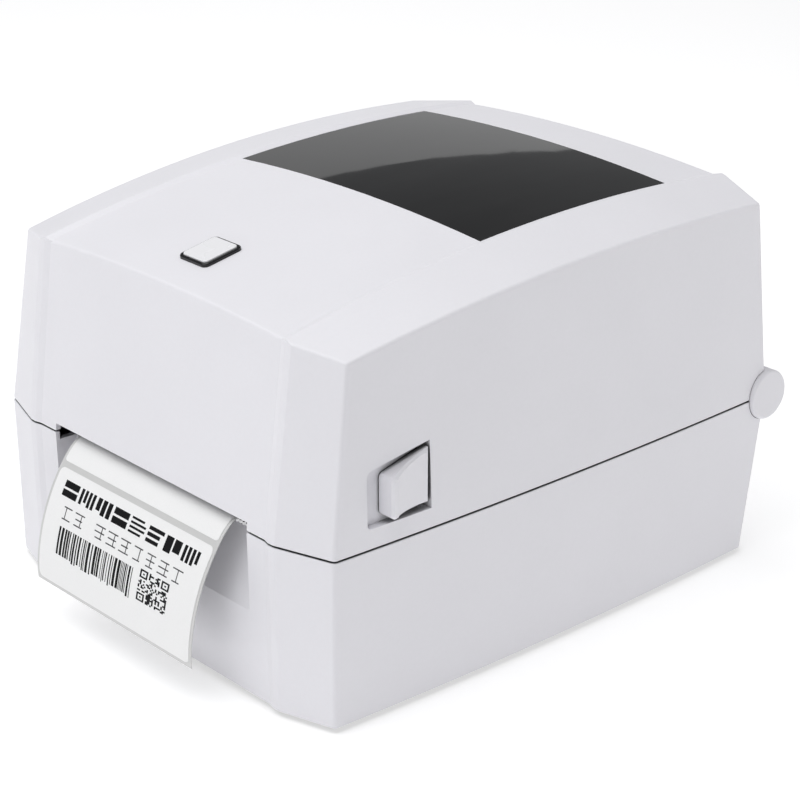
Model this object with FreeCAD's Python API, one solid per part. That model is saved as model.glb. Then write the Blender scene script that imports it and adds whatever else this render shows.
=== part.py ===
import FreeCAD, Part

import math
import os

# Desktop thermal label printer: a clamshell housing with a label roll, a print mechanism, a ribbon and
# a hinged cover.
#
# Every piece is drawn in the housing's own frame, in millimetres: x = 0 is the middle plane, y = 0 is the
# front of the side cheeks at the parting line with +Y to the rear, and z = 0 is the housing's lower edge.
# save() moves a piece to the object's frame, whose origin is under its middle on the table.

V = FreeCAD.Vector

# ---- overall ----
FOOT_H = 2.5
Y_MID = 122.685
WALL = 2.5
PART_Z = 71.7
PART_GAP = 0.9
TOP_LEVEL = 175.0
CORNER_ROUND, RIM_ROUND, LIP_ROUND = 2.0, 1.6, 0.3

# ---- plan outline: front line, chamfered cheeks, bowed sides, at three levels ----
BAND_HALF = 75.0
STEP_W = 3.2
STEP_D = 0.9
CHEEK_FLAT = 3.6
SIDE_MID_Y = 152.0
LOW = {"z": 0.0, "front": 0.8, "corner": (106.5, 8.4), "side": 111.2, "rear_corner": (109.2, 244.6),
       "rear": 253.1}
MID = {"z": PART_Z, "front": 0.0, "corner": (107.4, 8.2), "side": 112.1, "rear_corner": (110.5, 254.0),
       "rear": 262.5}
TOP = {"z": TOP_LEVEL, "front": 13.65, "corner": (102.2, 22.5), "side": 108.7, "rear_corner": (107.9, 243.5),
       "rear": 254.1}

# ---- arched top ----
ARCH_Y = 174.0
BAND_APEX, BAND_R = 171.4, 764.0
BAND_EDGE_APEX, BAND_EDGE_R = 168.1, 800.0
CHEEK_IN_APEX = 169.0
CHEEK_OUT_APEX, CHEEK_OUT_X, CHEEK_OUT_Y = 163.1, 109.0, 182.0

# ---- screw places ----
PLATE_SCREW_X, PLATE_SCREW_Y = 92.0, (22, 226)
FRAME_SCREW_X, FRAME_SCREW_Y = 69.0, (24, 76)
COVER_SCREW_X, COVER_SCREW_Y = 66.0, (31, 92)

# ---- front slot and recess ----
SLOT_HALF = 64.2
SLOT_TOP = 75.3
RECESS_BOTTOM, RECESS_TOP, RECESS_DEPTH = 36.5, 67.0, 11.3

# ---- window and button ----
WINDOW_HALF, WINDOW_FRONT, WINDOW_REAR = 74.9, 113.2, 221.4
BUTTON_Y, BUTTON_TILT = 37.4, 10.2
BUTTON_X = -0.5
BUTTON_HALF_X, BUTTON_HALF_Y, BUTTON_RISE = 7.6, 8.6, 2.0
BEZEL_RISE = 1.4

# ---- printhead pivot ----
HEAD_PIVOT_Y, HEAD_PIVOT_Z, HEAD_PIN_R = 56.0, 91.0, 2.0

# ---- latch ----
LATCH_PIVOT_Y, LATCH_PIVOT_Z = 38.0, 126.0
POCKET_LOW_Y, POCKET_HIGH_Y, POCKET_REAR_Y = 24.4, 25.0, 55.7
POCKET_Z0, POCKET_FRONT_Z1, POCKET_REAR_Z1 = 80.2, 103.2, 108.4
POCKET_FLOOR_X0, POCKET_FLOOR_X1, POCKET_FLOOR_REAR_Y = 102.9, 104.7, 52.2
TAB_Y0, TAB_Y1, TAB_Z0, TAB_FRONT_Z1, TAB_REAR_Z1 = 32.2, 54.4, 83.4, 100.5, 106.0
TAB_LIP_X, TAB_LAND, TAB_RIM = 113.45, 2.9, 1.0
LATCH_PLATE_X0, LATCH_PLATE_X1 = 95.5, 99.0
LATCH_PIN_END = 103.4
CATCH_Y, CATCH_Z, CATCH_R = 52.0, 57.0, 2.5

# ---- hinge ----
HINGE_Y, HINGE_Z = 253.9, 72.0
HINGE_ROD_R = 3.0
BARREL_R, BARREL_HALF = 7.4, 86.0
CAP_R, CAP_X0, CAP_X1 = 11.2, 101.5, 112.7
TUB_REAR_TOP, COVER_REAR_BOTTOM = 62.0, 84.0
REAR_OPEN_HALF = 104.0

# ---- label path ----
LABEL_HALF = 53.0
LABEL_T = 0.3
PLATEN_Y, PLATEN_Z, PLATEN_R = 22.0, 64.0, 8.0
ROLL_Y, ROLL_Z, ROLL_R = 168.0, 76.0, 50.0
CORE_R, CORE_BORE = 15.2, 12.7
WEB_Z, WEB_BEND_Y = 72.4, 38.0
CURL = [(9.0, WEB_Z), (4.6, 71.4), (0.4, 68.3), (-4.2, 62.6), (-9.6, 53.8), (-14.2, 43.6), (-17.3, 33.2),
        (-18.9, 24.0), (-19.2, 14.5)]

LABEL_SPANS = ((0.13, 0.30), (0.335, 0.975))

# ---- drive train ----
MODULE = 1.0
PLATEN_TEETH, IDLER_TEETH, PINION_TEETH = 20, 30, 12
DRIVE_ANGLE = -35.0
GEAR_X0, GEAR_X1 = 69.0, 75.0
FRAME_X0, FRAME_X1 = 62.0, 63.5
SHAFT_R = 3.0
RUN = 0.05

# ---- ribbon drive, in the cover ----
TAKEUP_Y, TAKEUP_Z, TAKEUP_R = 55.0, 128.0, 14.0
SUPPLY_Y, SUPPLY_Z, SUPPLY_R = 100.0, 134.0, 18.0
TAKEUP_TEETH, RIBBON_PINION_TEETH = 36, 12
RIBBON_ANGLE = 20.0
COVER_FRAME_X0, COVER_FRAME_X1 = 59.5, 61.0
RIBBON_HALF = 52.0

# ---- power rocker ----
ROCKER_Y, ROCKER_Z, ROCKER_PIN_R = 241.5, 25.0, 1.2

# ---- media guides ----
GUIDE_IN, GUIDE_OUT = 53.6, 56.6
GUIDE_TEETH = 16
TRAY_R = 62.0


# ---------------------------------------------------------------- helpers

def box(x0, x1, y0, y1, z0, z1):
    return Part.makeBox(x1 - x0, y1 - y0, z1 - z0, V(x0, y0, z0))


def rod_x(y, z, r, x0, x1):
    return Part.makeCylinder(r, x1 - x0, V(x0, y, z), V(1, 0, 0))


def rod_y(x, z, r, y0, y1):
    return Part.makeCylinder(r, y1 - y0, V(x, y0, z), V(0, 1, 0))


def rod_z(x, y, r, z0, z1):
    return Part.makeCylinder(r, z1 - z0, V(x, y, z0), V(0, 0, 1))


def prism(points, run):
    """A flat polygon, as a list of vectors, pushed along the vector run."""
    return Part.Face(Part.makePolygon(points + points[:1])).extrude(run)


def prism_x(points, x0, x1):
    return prism([V(x0, y, z) for y, z in points], V(x1 - x0, 0, 0))


def prism_z(points, z0, z1):
    return prism([V(x, y, z0) for x, y in points], V(0, 0, z1 - z0))


def mirror(shape):
    return shape.mirror(V(0, 0, 0), V(1, 0, 0))


def both(shape):
    """A piece and its mirror image, as two separate solids."""
    return Part.makeCompound([shape, mirror(shape)])


def rounded_block_z(half_x, half_y, r, z0, z1):
    bar = box(-half_x, half_x, -half_y, half_y, z0, z1)
    edges = [e for e in bar.Edges if abs(e.BoundBox.ZLength - (z1 - z0)) < 1e-6]
    return bar.makeFillet(r, edges)


def coil_z(x, y, z0, z1, r, wire_r, turns):
    """A coil spring standing along Z, its ends pulled in by the wire's radius."""
    height = z1 - z0 - 2 * wire_r
    helix = Part.makeHelix(height / turns, height, r)
    start = helix.Edges[0].valueAt(helix.Edges[0].FirstParameter)
    tangent = helix.Edges[0].tangentAt(helix.Edges[0].FirstParameter)
    section = Part.Wire(Part.makeCircle(wire_r, start, tangent))
    spring = Part.Wire(helix.Edges).makePipeShell([section], True, True)
    spring.translate(V(x, y, z0 + wire_r))
    return spring


def gear_x(teeth, tooth_at, y, z, x0, x1, bore):
    """A spur gear about an axis along X. tooth_at is one tooth's direction, in degrees from +Y to +Z."""
    pitch_r = MODULE * teeth / 2.0
    base_r = pitch_r * math.cos(math.radians(20))
    tip_r = pitch_r + 0.95 * MODULE
    root_r = pitch_r - 1.2 * MODULE

    def involute(r):
        a = math.acos(min(1.0, base_r / r))
        return math.tan(a) - a

    backlash = 0.1 / pitch_r
    half_at_pitch = math.pi / (2 * teeth) - backlash / 2
    low_r = max(base_r, root_r)
    radii = [low_r + (tip_r - low_r) * i / 4.0 for i in range(5)]
    points = []
    for n in range(teeth):
        middle = math.radians(tooth_at) + 2 * math.pi * n / teeth
        flank = [(r, half_at_pitch + involute(pitch_r) - involute(r)) for r in radii]
        foot = flank[0][1]
        side = [(root_r, foot)] + flank
        for r, half in side:
            points.append((middle - half, r))
        for r, half in reversed(side):
            points.append((middle + half, r))
    outline = [(y + r * math.cos(a), z + r * math.sin(a)) for a, r in points]
    return prism_x(outline, x0, x1).cut(rod_x(y, z, bore, x0 - 1, x1 + 1))


def gear_z(teeth, tooth_at, x, y, z0, z1, bore):
    """The same gear about an axis along Z; tooth_at is in degrees from +X to +Y."""
    gear = gear_x(teeth, tooth_at, 0, 0, z0, z1, bore)
    gear.rotate(V(0, 0, 0), V(1, 1, 1), -120)
    gear.translate(V(x, y, 0))
    return gear


def along(y, z, reach, degrees):
    a = math.radians(degrees)
    return y + reach * math.cos(a), z + reach * math.sin(a)


def save(name, shape):
    shape = shape.copy()
    shape.translate(V(0, -Y_MID, FOOT_H))
    shape.exportStep("parts/" + name + ".step")


# ---------------------------------------------------------------- outer form

def outline_outer(level):
    """The shell's plan outline at one level, with the stepped centre band at the front and the rear."""
    z = level["z"]
    front, rear = level["front"], level["rear"]
    cx, cy = level["corner"]
    rx, ry = level["rear_corner"]
    inner = BAND_HALF + STEP_W
    right = [(BAND_HALF, front + STEP_D), (inner, front), (inner + CHEEK_FLAT, front + 0.1), (cx, cy)]
    back = [(rx, ry), (inner + CHEEK_FLAT, rear - 0.1), (inner, rear), (BAND_HALF, rear - STEP_D)]
    return closed_outline(right, back, level["side"], z)


def outline_inner(level, inset):
    """The hollow's plan outline, without the step."""
    z = level["z"]
    front, rear = level["front"] + STEP_D + inset, level["rear"] - STEP_D - inset
    cx, cy = level["corner"]
    rx, ry = level["rear_corner"]
    flat = BAND_HALF + STEP_W + CHEEK_FLAT + inset
    right = [(flat, front), (cx - inset, cy + 0.75 * inset)]
    back = [(rx - inset, ry - 0.75 * inset), (flat, rear)]
    return closed_outline(right, back, level["side"] - inset, z)


def closed_outline(right, back, side, z):
    p = [V(x, y, z) for x, y in right]
    q = [V(x, y, z) for x, y in back]
    pm = [V(-v.x, v.y, v.z) for v in p]
    qm = [V(-v.x, v.y, v.z) for v in q]
    edges = [Part.makeLine(pm[0], p[0])]
    edges += [Part.makeLine(a, b) for a, b in zip(p, p[1:])]
    edges.append(Part.Arc(p[-1], V(side, SIDE_MID_Y, z), q[0]).toShape())
    edges += [Part.makeLine(a, b) for a, b in zip(q, q[1:])]
    edges.append(Part.makeLine(q[-1], qm[-1]))
    edges += [Part.makeLine(a, b) for a, b in zip(qm[::-1], qm[::-1][1:])]
    edges.append(Part.Arc(qm[0], V(-side, SIDE_MID_Y, z), pm[-1]).toShape())
    edges += [Part.makeLine(a, b) for a, b in zip(pm[::-1], pm[::-1][1:])]
    return Part.Wire(edges)


def between(low, high, z):
    """The outline's numbers at height z on the straight loft from low to high."""
    t = (z - low["z"]) / (high["z"] - low["z"])
    mix = {"z": z}
    for key in ("front", "side", "rear"):
        mix[key] = low[key] + t * (high[key] - low[key])
    for key in ("corner", "rear_corner"):
        mix[key] = tuple(a + t * (b - a) for a, b in zip(low[key], high[key]))
    return mix


def loft(wires):
    return Part.makeLoft(wires, True, True)


def arch(x, apex, radius, apex_y, drop):
    """A closed section in the plane x, arched on top and flat at z = 40."""
    def height(y):
        return apex - drop - radius + math.sqrt(radius ** 2 - (y - apex_y) ** 2)
    front, rear = -30.0, 300.0
    floor = 40.0
    a, b = V(x, front, height(front)), V(x, rear, height(rear))
    c, d = V(x, rear, floor), V(x, front, floor)
    top = Part.Arc(a, V(x, apex_y, apex - drop), b).toShape()
    return Part.Wire([top, Part.makeLine(b, c), Part.makeLine(c, d), Part.makeLine(d, a)])


def band_top(drop):
    """The solid under the crowned centre band."""
    edge = BAND_EDGE_APEX, BAND_EDGE_R, ARCH_Y, drop
    middle = arch(0, BAND_APEX, BAND_R, ARCH_Y, drop)
    return Part.makeLoft([arch(-BAND_HALF, *edge), middle, arch(BAND_HALF, *edge)], True, False)


def cheek_top(drop):
    """The solid under one cheek's sloping top, with the step down to the band."""
    inner = BAND_HALF + STEP_W
    foot = arch(BAND_HALF, BAND_EDGE_APEX, BAND_EDGE_R, ARCH_Y, drop)
    shoulder = arch(inner, CHEEK_IN_APEX, BAND_EDGE_R, ARCH_Y, drop)
    reach = CHEEK_OUT_X + 8
    fall = (CHEEK_OUT_APEX - CHEEK_IN_APEX) / (CHEEK_OUT_X - inner)
    outer_apex = CHEEK_OUT_APEX + fall * (reach - CHEEK_OUT_X)
    outer = arch(reach, outer_apex, BAND_EDGE_R, CHEEK_OUT_Y, drop)
    return loft([foot, shoulder]).fuse(loft([shoulder, outer]))


def under_top(drop):
    side = cheek_top(drop)
    return band_top(drop).fuse([side, mirror(side)]).removeSplitter()


def lower_solid():
    high = between(LOW, MID, PART_Z - PART_GAP / 2)
    return loft([outline_outer(LOW), outline_outer(high)])


def upper_solid():
    low = between(MID, TOP, PART_Z + PART_GAP / 2)
    return loft([outline_outer(low), outline_outer(TOP)]).common(under_top(0))


def break_edges(solid, chosen, names):
    """Rounds the chosen edges, one call at a time so that one awkward edge doesn't stop the rest."""
    for pick, size in chosen:
        edges = [e for e in solid.Edges if pick(e)]
        if not edges:
            print("no edge for", names)
            continue
        try:
            rounded = solid.makeFillet(size, edges)
            if rounded.isValid() and rounded.Volume > 0:
                solid = rounded
            else:
                print("fillet not valid:", names)
        except Part.OCCError:
            print("fillet failed:", names)
    return solid


# ---------------------------------------------------------------- shells

def is_corner(e):
    b = e.BoundBox
    return b.ZLength > 60 and (abs(b.XMin) > 99 and abs(b.XMax) > 99)


def is_top_rim(e):
    b = e.BoundBox
    return b.ZMin > 140 and b.YLength > 100 and abs(b.XMin) > 100


def is_top_end(e):
    b = e.BoundBox
    return b.ZMin > 140 and b.YLength < 13 and b.XLength > 15


def is_parting_side(e):
    b = e.BoundBox
    return b.ZLength < 0.01 and abs(b.ZMin - PART_Z) < 1 and b.YLength > 100


def hinge_notches():
    return both(rod_x(HINGE_Y, HINGE_Z, CAP_R + 0.25, 100, 122))


def tub_hollow(z0, z1, inset):
    """The space inside the tub's walls between two heights."""
    return loft([outline_inner(between(LOW, MID, z0), inset), outline_inner(between(LOW, MID, z1), inset)])


def lower_housing():
    rounds = [(is_corner, CORNER_ROUND), (is_parting_side, LIP_ROUND)]
    outer = break_edges(lower_solid(), rounds, "lower housing")
    hollow = tub_hollow(-1.0, 90.0, WALL)
    back = RECESS_DEPTH + WALL
    profile = [(-3, 33.5), (5.0, 33.5), (back, 64), (back, PART_Z + 9), (-3, PART_Z + 9)]
    recess_wall = prism_x(profile, -SLOT_HALF - WALL, SLOT_HALF + WALL)
    shell = outer.cut(hollow).fuse(outer.common(recess_wall))
    wedge = [(-5, RECESS_BOTTOM), (1.0, RECESS_BOTTOM), (RECESS_DEPTH, RECESS_TOP),
             (RECESS_DEPTH + 5, RECESS_TOP), (RECESS_DEPTH + 5, 90), (-5, 90)]
    shell = shell.cut(prism_x(wedge, -SLOT_HALF, SLOT_HALF))
    slot_end = box(SLOT_HALF - 1, SLOT_HALF + WALL + 0.5, WALL + 0.3, back + 1, RECESS_TOP + 0.6, PART_Z + 1)
    shell = shell.cut(both(slot_end))
    shell = shell.cut(box(-REAR_OPEN_HALF, REAR_OPEN_HALF, 236, 270, TUB_REAR_TOP, 90)).cut(hinge_notches())
    # the hinge barrel, on a shelf across the rear, bored for the hinge rod
    shelf = box(-REAR_OPEN_HALF, REAR_OPEN_HALF, 240, 260, TUB_REAR_TOP - 2.5, TUB_REAR_TOP)
    rib = box(-BARREL_HALF, BARREL_HALF, HINGE_Y - 5, HINGE_Y + 5, TUB_REAR_TOP - 1, HINGE_Z)
    barrel = rod_x(HINGE_Y, HINGE_Z, BARREL_R, -BARREL_HALF, BARREL_HALF)
    bore = rod_x(HINGE_Y, HINGE_Z, HINGE_ROD_R, -130, 130)
    shell = shell.fuse([shelf.common(outer), rib, barrel]).cut(bore)
    # corner bosses for the plate screws, bosses for the catch pins
    bosses = [rod_z(s * PLATE_SCREW_X, y, 4, 2.3, 30) for s in (-1, 1) for y in PLATE_SCREW_Y]
    bosses += [box(min(s * 94, s * 112), max(s * 94, s * 112), y - 1, y + 1, 2.3, 30).common(outer)
               for s in (-1, 1) for y in PLATE_SCREW_Y]
    catch = rod_x(CATCH_Y, CATCH_Z, 5, 103, 112).common(outer)
    shell = shell.fuse(bosses + [catch, mirror(catch)])
    holes = [rod_z(s * PLATE_SCREW_X, y, 1.5, 0, 20) for s in (-1, 1) for y in PLATE_SCREW_Y]
    shell = shell.cut(both(rod_x(CATCH_Y, CATCH_Z, CATCH_R, 90, 108))).cut(Part.makeCompound(holes))
    # recessed connector panel low on the rear
    panel = box(-62, 62, 242.5, 262, 8, 42).common(outer).cut(box(-59.5, 59.5, 245, 270, 10.5, 39.5))
    shell = shell.cut(box(-59.5, 59.5, 245, 270, 10.5, 39.5)).fuse(panel)
    return shell.cut(port_openings()).removeSplitter()


def port_openings():
    switch = box(30, 51, 240, 248, 17.8, 32.2)
    inlet = rod_y(8, 24, 4.6, 240, 248)
    data = box(-35.2, -22.8, 240, 248, 18.3, 29.7)
    return Part.makeCompound([switch, inlet, data])


def latch_pocket(grow, x0, x1):
    """The rounded opening in the cover's side, taller at the rear and square at its rear corners."""
    front_low, front_high, rear = POCKET_LOW_Y - grow, POCKET_HIGH_Y - grow, POCKET_REAR_Y + grow
    low = POCKET_Z0 - grow
    bar = prism_x([(front_low, low), (rear, low), (rear, POCKET_REAR_Z1 + grow),
                   (front_high, POCKET_FRONT_Z1 + grow)], x0, x1)
    front = [e for e in bar.Edges if e.BoundBox.XLength > 1 and e.BoundBox.YMax < POCKET_HIGH_Y + 1]
    bar = bar.makeFillet(3.6 + grow, [e for e in front if e.BoundBox.ZMin > 90])
    low_front = [e for e in bar.Edges if abs(e.BoundBox.XLength - (x1 - x0)) < 0.01
                 and e.BoundBox.YMax < POCKET_HIGH_Y and e.BoundBox.ZMax < 90]
    return bar.makeFillet(1.6 + grow, low_front)


def pocket_floor():
    """The pocket's floor, cut through for the latch's stem to travel and open along its rear edge."""
    x0, x1 = POCKET_FLOOR_X0, POCKET_FLOOR_X1
    floor = latch_pocket(0.6, x0, x1).cut(box(x0 - 1, x1 + 1, POCKET_FLOOR_REAR_Y, 60, 70, 120))
    return floor.cut(box(x0 - 1, x1 + 1, 36.9, 51.4, 86.4, 98.0))


def upper_cover():
    rounds = [(is_corner, CORNER_ROUND), (is_top_rim, RIM_ROUND), (is_top_end, RIM_ROUND),
              (is_parting_side, LIP_ROUND)]
    outer = break_edges(upper_solid(), rounds, "upper cover")
    hollow = loft([outline_inner(between(MID, TOP, 60.0), WALL), outline_inner(TOP, WALL)])
    shell = outer.cut(hollow.common(under_top(WALL)))
    shell = shell.cut(box(-SLOT_HALF, SLOT_HALF, -10, 12, 60, SLOT_TOP))
    shell = shell.cut(box(-REAR_OPEN_HALF, REAR_OPEN_HALF, 252, 270, 60, COVER_REAR_BOTTOM))
    shell = shell.cut(hinge_notches())
    fit = 0.15
    half = WINDOW_HALF + fit
    shell = shell.cut(box(-half, half, WINDOW_FRONT - fit, WINDOW_REAR + fit, 120, 190))
    shell = shell.cut(place_button(rounded_block_z(BUTTON_HALF_X + 1.35, BUTTON_HALF_Y + 1.35, 2.6, -12, 12)))
    # latch pockets: an opening with a short sleeve behind it
    sleeve = latch_pocket(1.8, 101.5, 120).common(outer).cut(latch_pocket(0, 90, 130))
    shell = shell.fuse([sleeve, mirror(sleeve)]).cut(both(latch_pocket(0, 90, 130)))
    shell = shell.fuse([pocket_floor(), mirror(pocket_floor())])
    # bosses: latch pivots, cover frame screws, hinge arms
    pivot = rod_x(LATCH_PIVOT_Y, LATCH_PIVOT_Z, 5, 101.4, 112).common(outer)
    posts = [rod_z(s * COVER_SCREW_X, y, 4, 139.5, 180).common(outer) for s in (-1, 1) for y in COVER_SCREW_Y]
    eye = rod_x(HINGE_Y, HINGE_Z, BARREL_R, 91, 99)
    arm = eye.fuse(box(91, 99, HINGE_Y - BARREL_R, HINGE_Y + BARREL_R, HINGE_Z, 110))
    arm = arm.fuse(box(91, 99, 240.5, 262, 92, 110)).common(outer.fuse(eye))
    shell = shell.fuse([pivot, mirror(pivot), arm, mirror(arm)] + posts)
    bores = [rod_z(s * COVER_SCREW_X, y, 1.5, 130, 150) for s in (-1, 1) for y in COVER_SCREW_Y]
    shell = shell.cut(Part.makeCompound(bores))
    shell = shell.cut(both(rod_x(LATCH_PIVOT_Y, LATCH_PIVOT_Z, SHAFT_R, 90, LATCH_PIN_END)))
    return shell.cut(rod_x(HINGE_Y, HINGE_Z, HINGE_ROD_R + RUN, -130, 130)).removeSplitter()


def viewing_window():
    slab = band_top(0).cut(band_top(WALL))
    return slab.common(box(-WINDOW_HALF, WINDOW_HALF, WINDOW_FRONT, WINDOW_REAR, 120, 190))


def window_frame():
    ring = band_top(WALL + 0.1).cut(band_top(WALL + 2.2))
    ring = ring.common(box(-74.9, 74.9, WINDOW_FRONT - 6, WINDOW_REAR + 6, 120, 190))
    return ring.cut(box(-68, 68, WINDOW_FRONT + 5, WINDOW_REAR - 5, 100, 200))


def bottom_plate():
    plan = tub_hollow(-0.8, 2.0, WALL + 0.3)
    pads = box(-62, 62, 150, 186, 2, 5.2).cut(box(-62, 62, 162.2, 173.8, 1, 6))
    pads = pads.cut(box(-14, 14, 140, 190, 1, 6))
    plate = plan.fuse([pads, rod_z(0, ROLL_Y, 4, 1.5, 5.2)])
    holes = [rod_z(s * PLATE_SCREW_X, y, 1.9, -3, 6) for s in (-1, 1) for y in PLATE_SCREW_Y]
    holes += [rod_z(s * FRAME_SCREW_X, y, 1.5, 0, 6) for s in (-1, 1) for y in FRAME_SCREW_Y]
    return plate.cut(Part.makeCompound(holes + [rod_z(0, ROLL_Y, 2, -3, 8)]))


def rubber_feet():
    foot = Part.makeCone(9.0, 8.2, FOOT_H - 0.8, V(0, 0, -FOOT_H), V(0, 0, 1))
    foot = foot.makeFillet(0.5, [e for e in foot.Edges if e.BoundBox.ZMax < -FOOT_H + 0.01])
    feet = []
    for x in (-78, 78):
        for y in (38, 222):
            piece = foot.copy()
            piece.translate(V(x, y, 0))
            feet.append(piece)
    return Part.makeCompound(feet)


def pan_screw(x, y, z, head_r, shank_r, length, up):
    """A pan-head screw whose head bears on the height z; its shank runs up (1) or down (-1) from there."""
    head = Part.makeCylinder(head_r, 1.6, V(x, y, z), V(0, 0, -up))
    head = head.makeFillet(0.6, [e for e in head.Edges if abs(e.BoundBox.ZMin - (z - up * 1.6)) < 0.01
                                 and e.BoundBox.XLength > head_r])
    slot_z = sorted([z - up * 1.7, z - up])
    head = head.cut(box(x - 2, x + 2, y - 0.35, y + 0.35, slot_z[0], slot_z[1]))
    shank = Part.makeCylinder(shank_r, length, V(x, y, z), V(0, 0, up))
    return head.fuse(shank)


# ---------------------------------------------------------------- button

def place_button(shape):
    """Moves a piece drawn about the button's own top centre to its place on the sloping top."""
    run = (ARCH_Y - BUTTON_Y)
    top = BAND_APEX - BAND_R + math.sqrt(BAND_R ** 2 - run ** 2)
    shape = shape.copy()
    shape.rotate(V(0, 0, 0), V(1, 0, 0), BUTTON_TILT)
    shape.translate(V(BUTTON_X, BUTTON_Y, top))
    return shape


def button_bezel():
    ring = rounded_block_z(BUTTON_HALF_X + 1.3, BUTTON_HALF_Y + 1.3, 2.5, -3.2, BEZEL_RISE)
    flange = rounded_block_z(BUTTON_HALF_X + 3, BUTTON_HALF_Y + 3, 3.5, -5.0, -3.2)
    hole = rounded_block_z(BUTTON_HALF_X + 0.3, BUTTON_HALF_Y + 0.3, 2.0, -8, 3)
    lip = [e for e in ring.Edges if e.BoundBox.ZMin > BEZEL_RISE - 0.01]
    return place_button(ring.makeFillet(0.65, lip).fuse(flange).cut(hole))


def feed_button():
    cap = rounded_block_z(BUTTON_HALF_X, BUTTON_HALF_Y, 1.8, -5.4, BUTTON_RISE)
    cap = cap.makeFillet(0.5, [e for e in cap.Edges if e.BoundBox.ZMin > BUTTON_RISE - 0.01])
    flange = rounded_block_z(BUTTON_HALF_X + 1.4, BUTTON_HALF_Y + 1.4, 2.2, -7.0, -5.4)
    return place_button(cap.fuse(flange).cut(rounded_block_z(5.4, 7.0, 1.0, -8, 0.4)))


def button_board():
    board = box(-14, 14, -12, 12, -12.6, -11.0)
    posts = [rod_z(s * 12, y, 1.8, -11.0, -2.7) for s in (-1, 1) for y in (-10, 10)]
    switch = box(-3, 3, -3, 3, -11.0, -8.2).fuse(rod_z(0, 0, 1.6, -8.2, -1.2))
    return place_button(board.fuse(posts + [switch]))


# ---------------------------------------------------------------- latch

def latch_lever():
    """The right lever: a plate behind the pocket, a pull tab through it, a pivot above and a hook below."""
    x0, x1 = LATCH_PLATE_X0, LATCH_PLATE_X1
    plate = box(x0, x1, 21.5, 62, 78.6, 110)
    neck = prism_x([(28, 109), (50, 109), (LATCH_PIVOT_Y + 7, LATCH_PIVOT_Z),
                    (LATCH_PIVOT_Y + 5, LATCH_PIVOT_Z + 5),
                    (LATCH_PIVOT_Y - 5, LATCH_PIVOT_Z + 5), (LATCH_PIVOT_Y - 7, LATCH_PIVOT_Z)], x0, x1)
    eye = rod_x(LATCH_PIVOT_Y, LATCH_PIVOT_Z, 7.5, x0, x1)
    claw = [(44.5, 60), (49.0, 57.5), (49.0, 53), (44, 49.5), (38, 50)]
    hook = prism_x([(36, 80), (46, 80), (44.5, 62)] + claw, x0, x1)
    lever = plate.fuse([neck, eye, hook, latch_stem(), latch_tab()])
    return lever.cut(rod_x(LATCH_PIVOT_Y, LATCH_PIVOT_Z, SHAFT_R + RUN, x0 - 5, x1 + 5)).removeSplitter()


def latch_stem():
    """The neck that joins the tab to the plate through the pocket's floor."""
    return box(LATCH_PLATE_X1 - 0.5, POCKET_FLOOR_X1 + 1, 45, 51, 89, 97)


def latch_tab():
    """The pull tab: a narrow land at the front, then a hollow sweep down to the surface at the rear."""
    foot = POCKET_FLOOR_X1 + 0.7
    blank = prism_x([(TAB_Y0, TAB_Z0), (TAB_Y1, TAB_Z0 - 0.3), (TAB_Y1, TAB_REAR_Z1), (TAB_Y0, TAB_FRONT_Z1)],
                    foot, TAB_LIP_X)
    front = [e for e in blank.Edges if e.BoundBox.XLength > 5 and e.BoundBox.YMax < TAB_Y0 + 0.1]
    blank = blank.makeFillet(2.2, front)
    z0, z1 = TAB_Z0 - 2, TAB_REAR_Z1 + 2
    ridge_y, step = TAB_Y0 + TAB_LAND, 0.7
    ridge, a = V(TAB_LIP_X, ridge_y, z0), V(TAB_LIP_X - step, ridge_y + step, z0)
    b, c = V(110.5, 42.5, z0), V(109.6, TAB_Y1 + 1, z0)
    far_rear, far_front = V(130, TAB_Y1 + 1, z0), V(130, ridge_y, z0)
    sweep = [Part.makeLine(ridge, a), Part.Arc(a, b, c).toShape(), Part.makeLine(c, far_rear),
             Part.makeLine(far_rear, far_front), Part.makeLine(far_front, ridge)]
    tab = blank.cut(Part.Face(Part.Wire(sweep)).extrude(V(0, 0, z1 - z0)))
    outer = [e for e in tab.Edges if e.BoundBox.XMin > foot + 2]
    across = [e for e in outer if e.BoundBox.YLength < 0.01 and TAB_Y0 + 1 < e.BoundBox.YMin < TAB_Y1 - 1]
    rim = [e for e in outer if not any(e.isSame(a) for a in across)]
    return tab.makeChamfer(TAB_RIM, rim)


def pivot_pins():
    """The pins that the latch levers and the printhead's bracket swing on, in the cover."""
    start = LATCH_PLATE_X0 - 0.5
    pin = rod_x(LATCH_PIVOT_Y, LATCH_PIVOT_Z, SHAFT_R, start, LATCH_PIN_END)
    head = rod_x(LATCH_PIVOT_Y, LATCH_PIVOT_Z, 5.0, start - 1.4, start)
    head_collar = rod_x(HEAD_PIVOT_Y, HEAD_PIVOT_Z, 3.4, 58.0, COVER_FRAME_X0)
    head_pin = rod_x(HEAD_PIVOT_Y, HEAD_PIVOT_Z, HEAD_PIN_R, 55, 62).fuse(head_collar)
    latch_pin = pin.fuse(head)
    return Part.makeCompound([latch_pin, mirror(latch_pin), head_pin, mirror(head_pin)])


def latch_springs():
    """A one-turn wire spring round each latch pivot, with a straight leg down the lever."""
    x = LATCH_PLATE_X1 + 0.9
    coil_r, wire_r = 4.4, 0.5
    ring = Part.makeTorus(coil_r, wire_r, V(x, LATCH_PIVOT_Y, LATCH_PIVOT_Z), V(1, 0, 0))
    leg = rod_z(x, LATCH_PIVOT_Y - coil_r, wire_r, LATCH_PIVOT_Z - 14, LATCH_PIVOT_Z)
    return both(ring.fuse(leg))


def catch_pins():
    pin = rod_x(CATCH_Y, CATCH_Z, CATCH_R, 93.0, 108)
    return both(pin.makeFillet(0.5, [e for e in pin.Edges if e.BoundBox.XMax < 93.01]))


# ---------------------------------------------------------------- hinge

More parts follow.
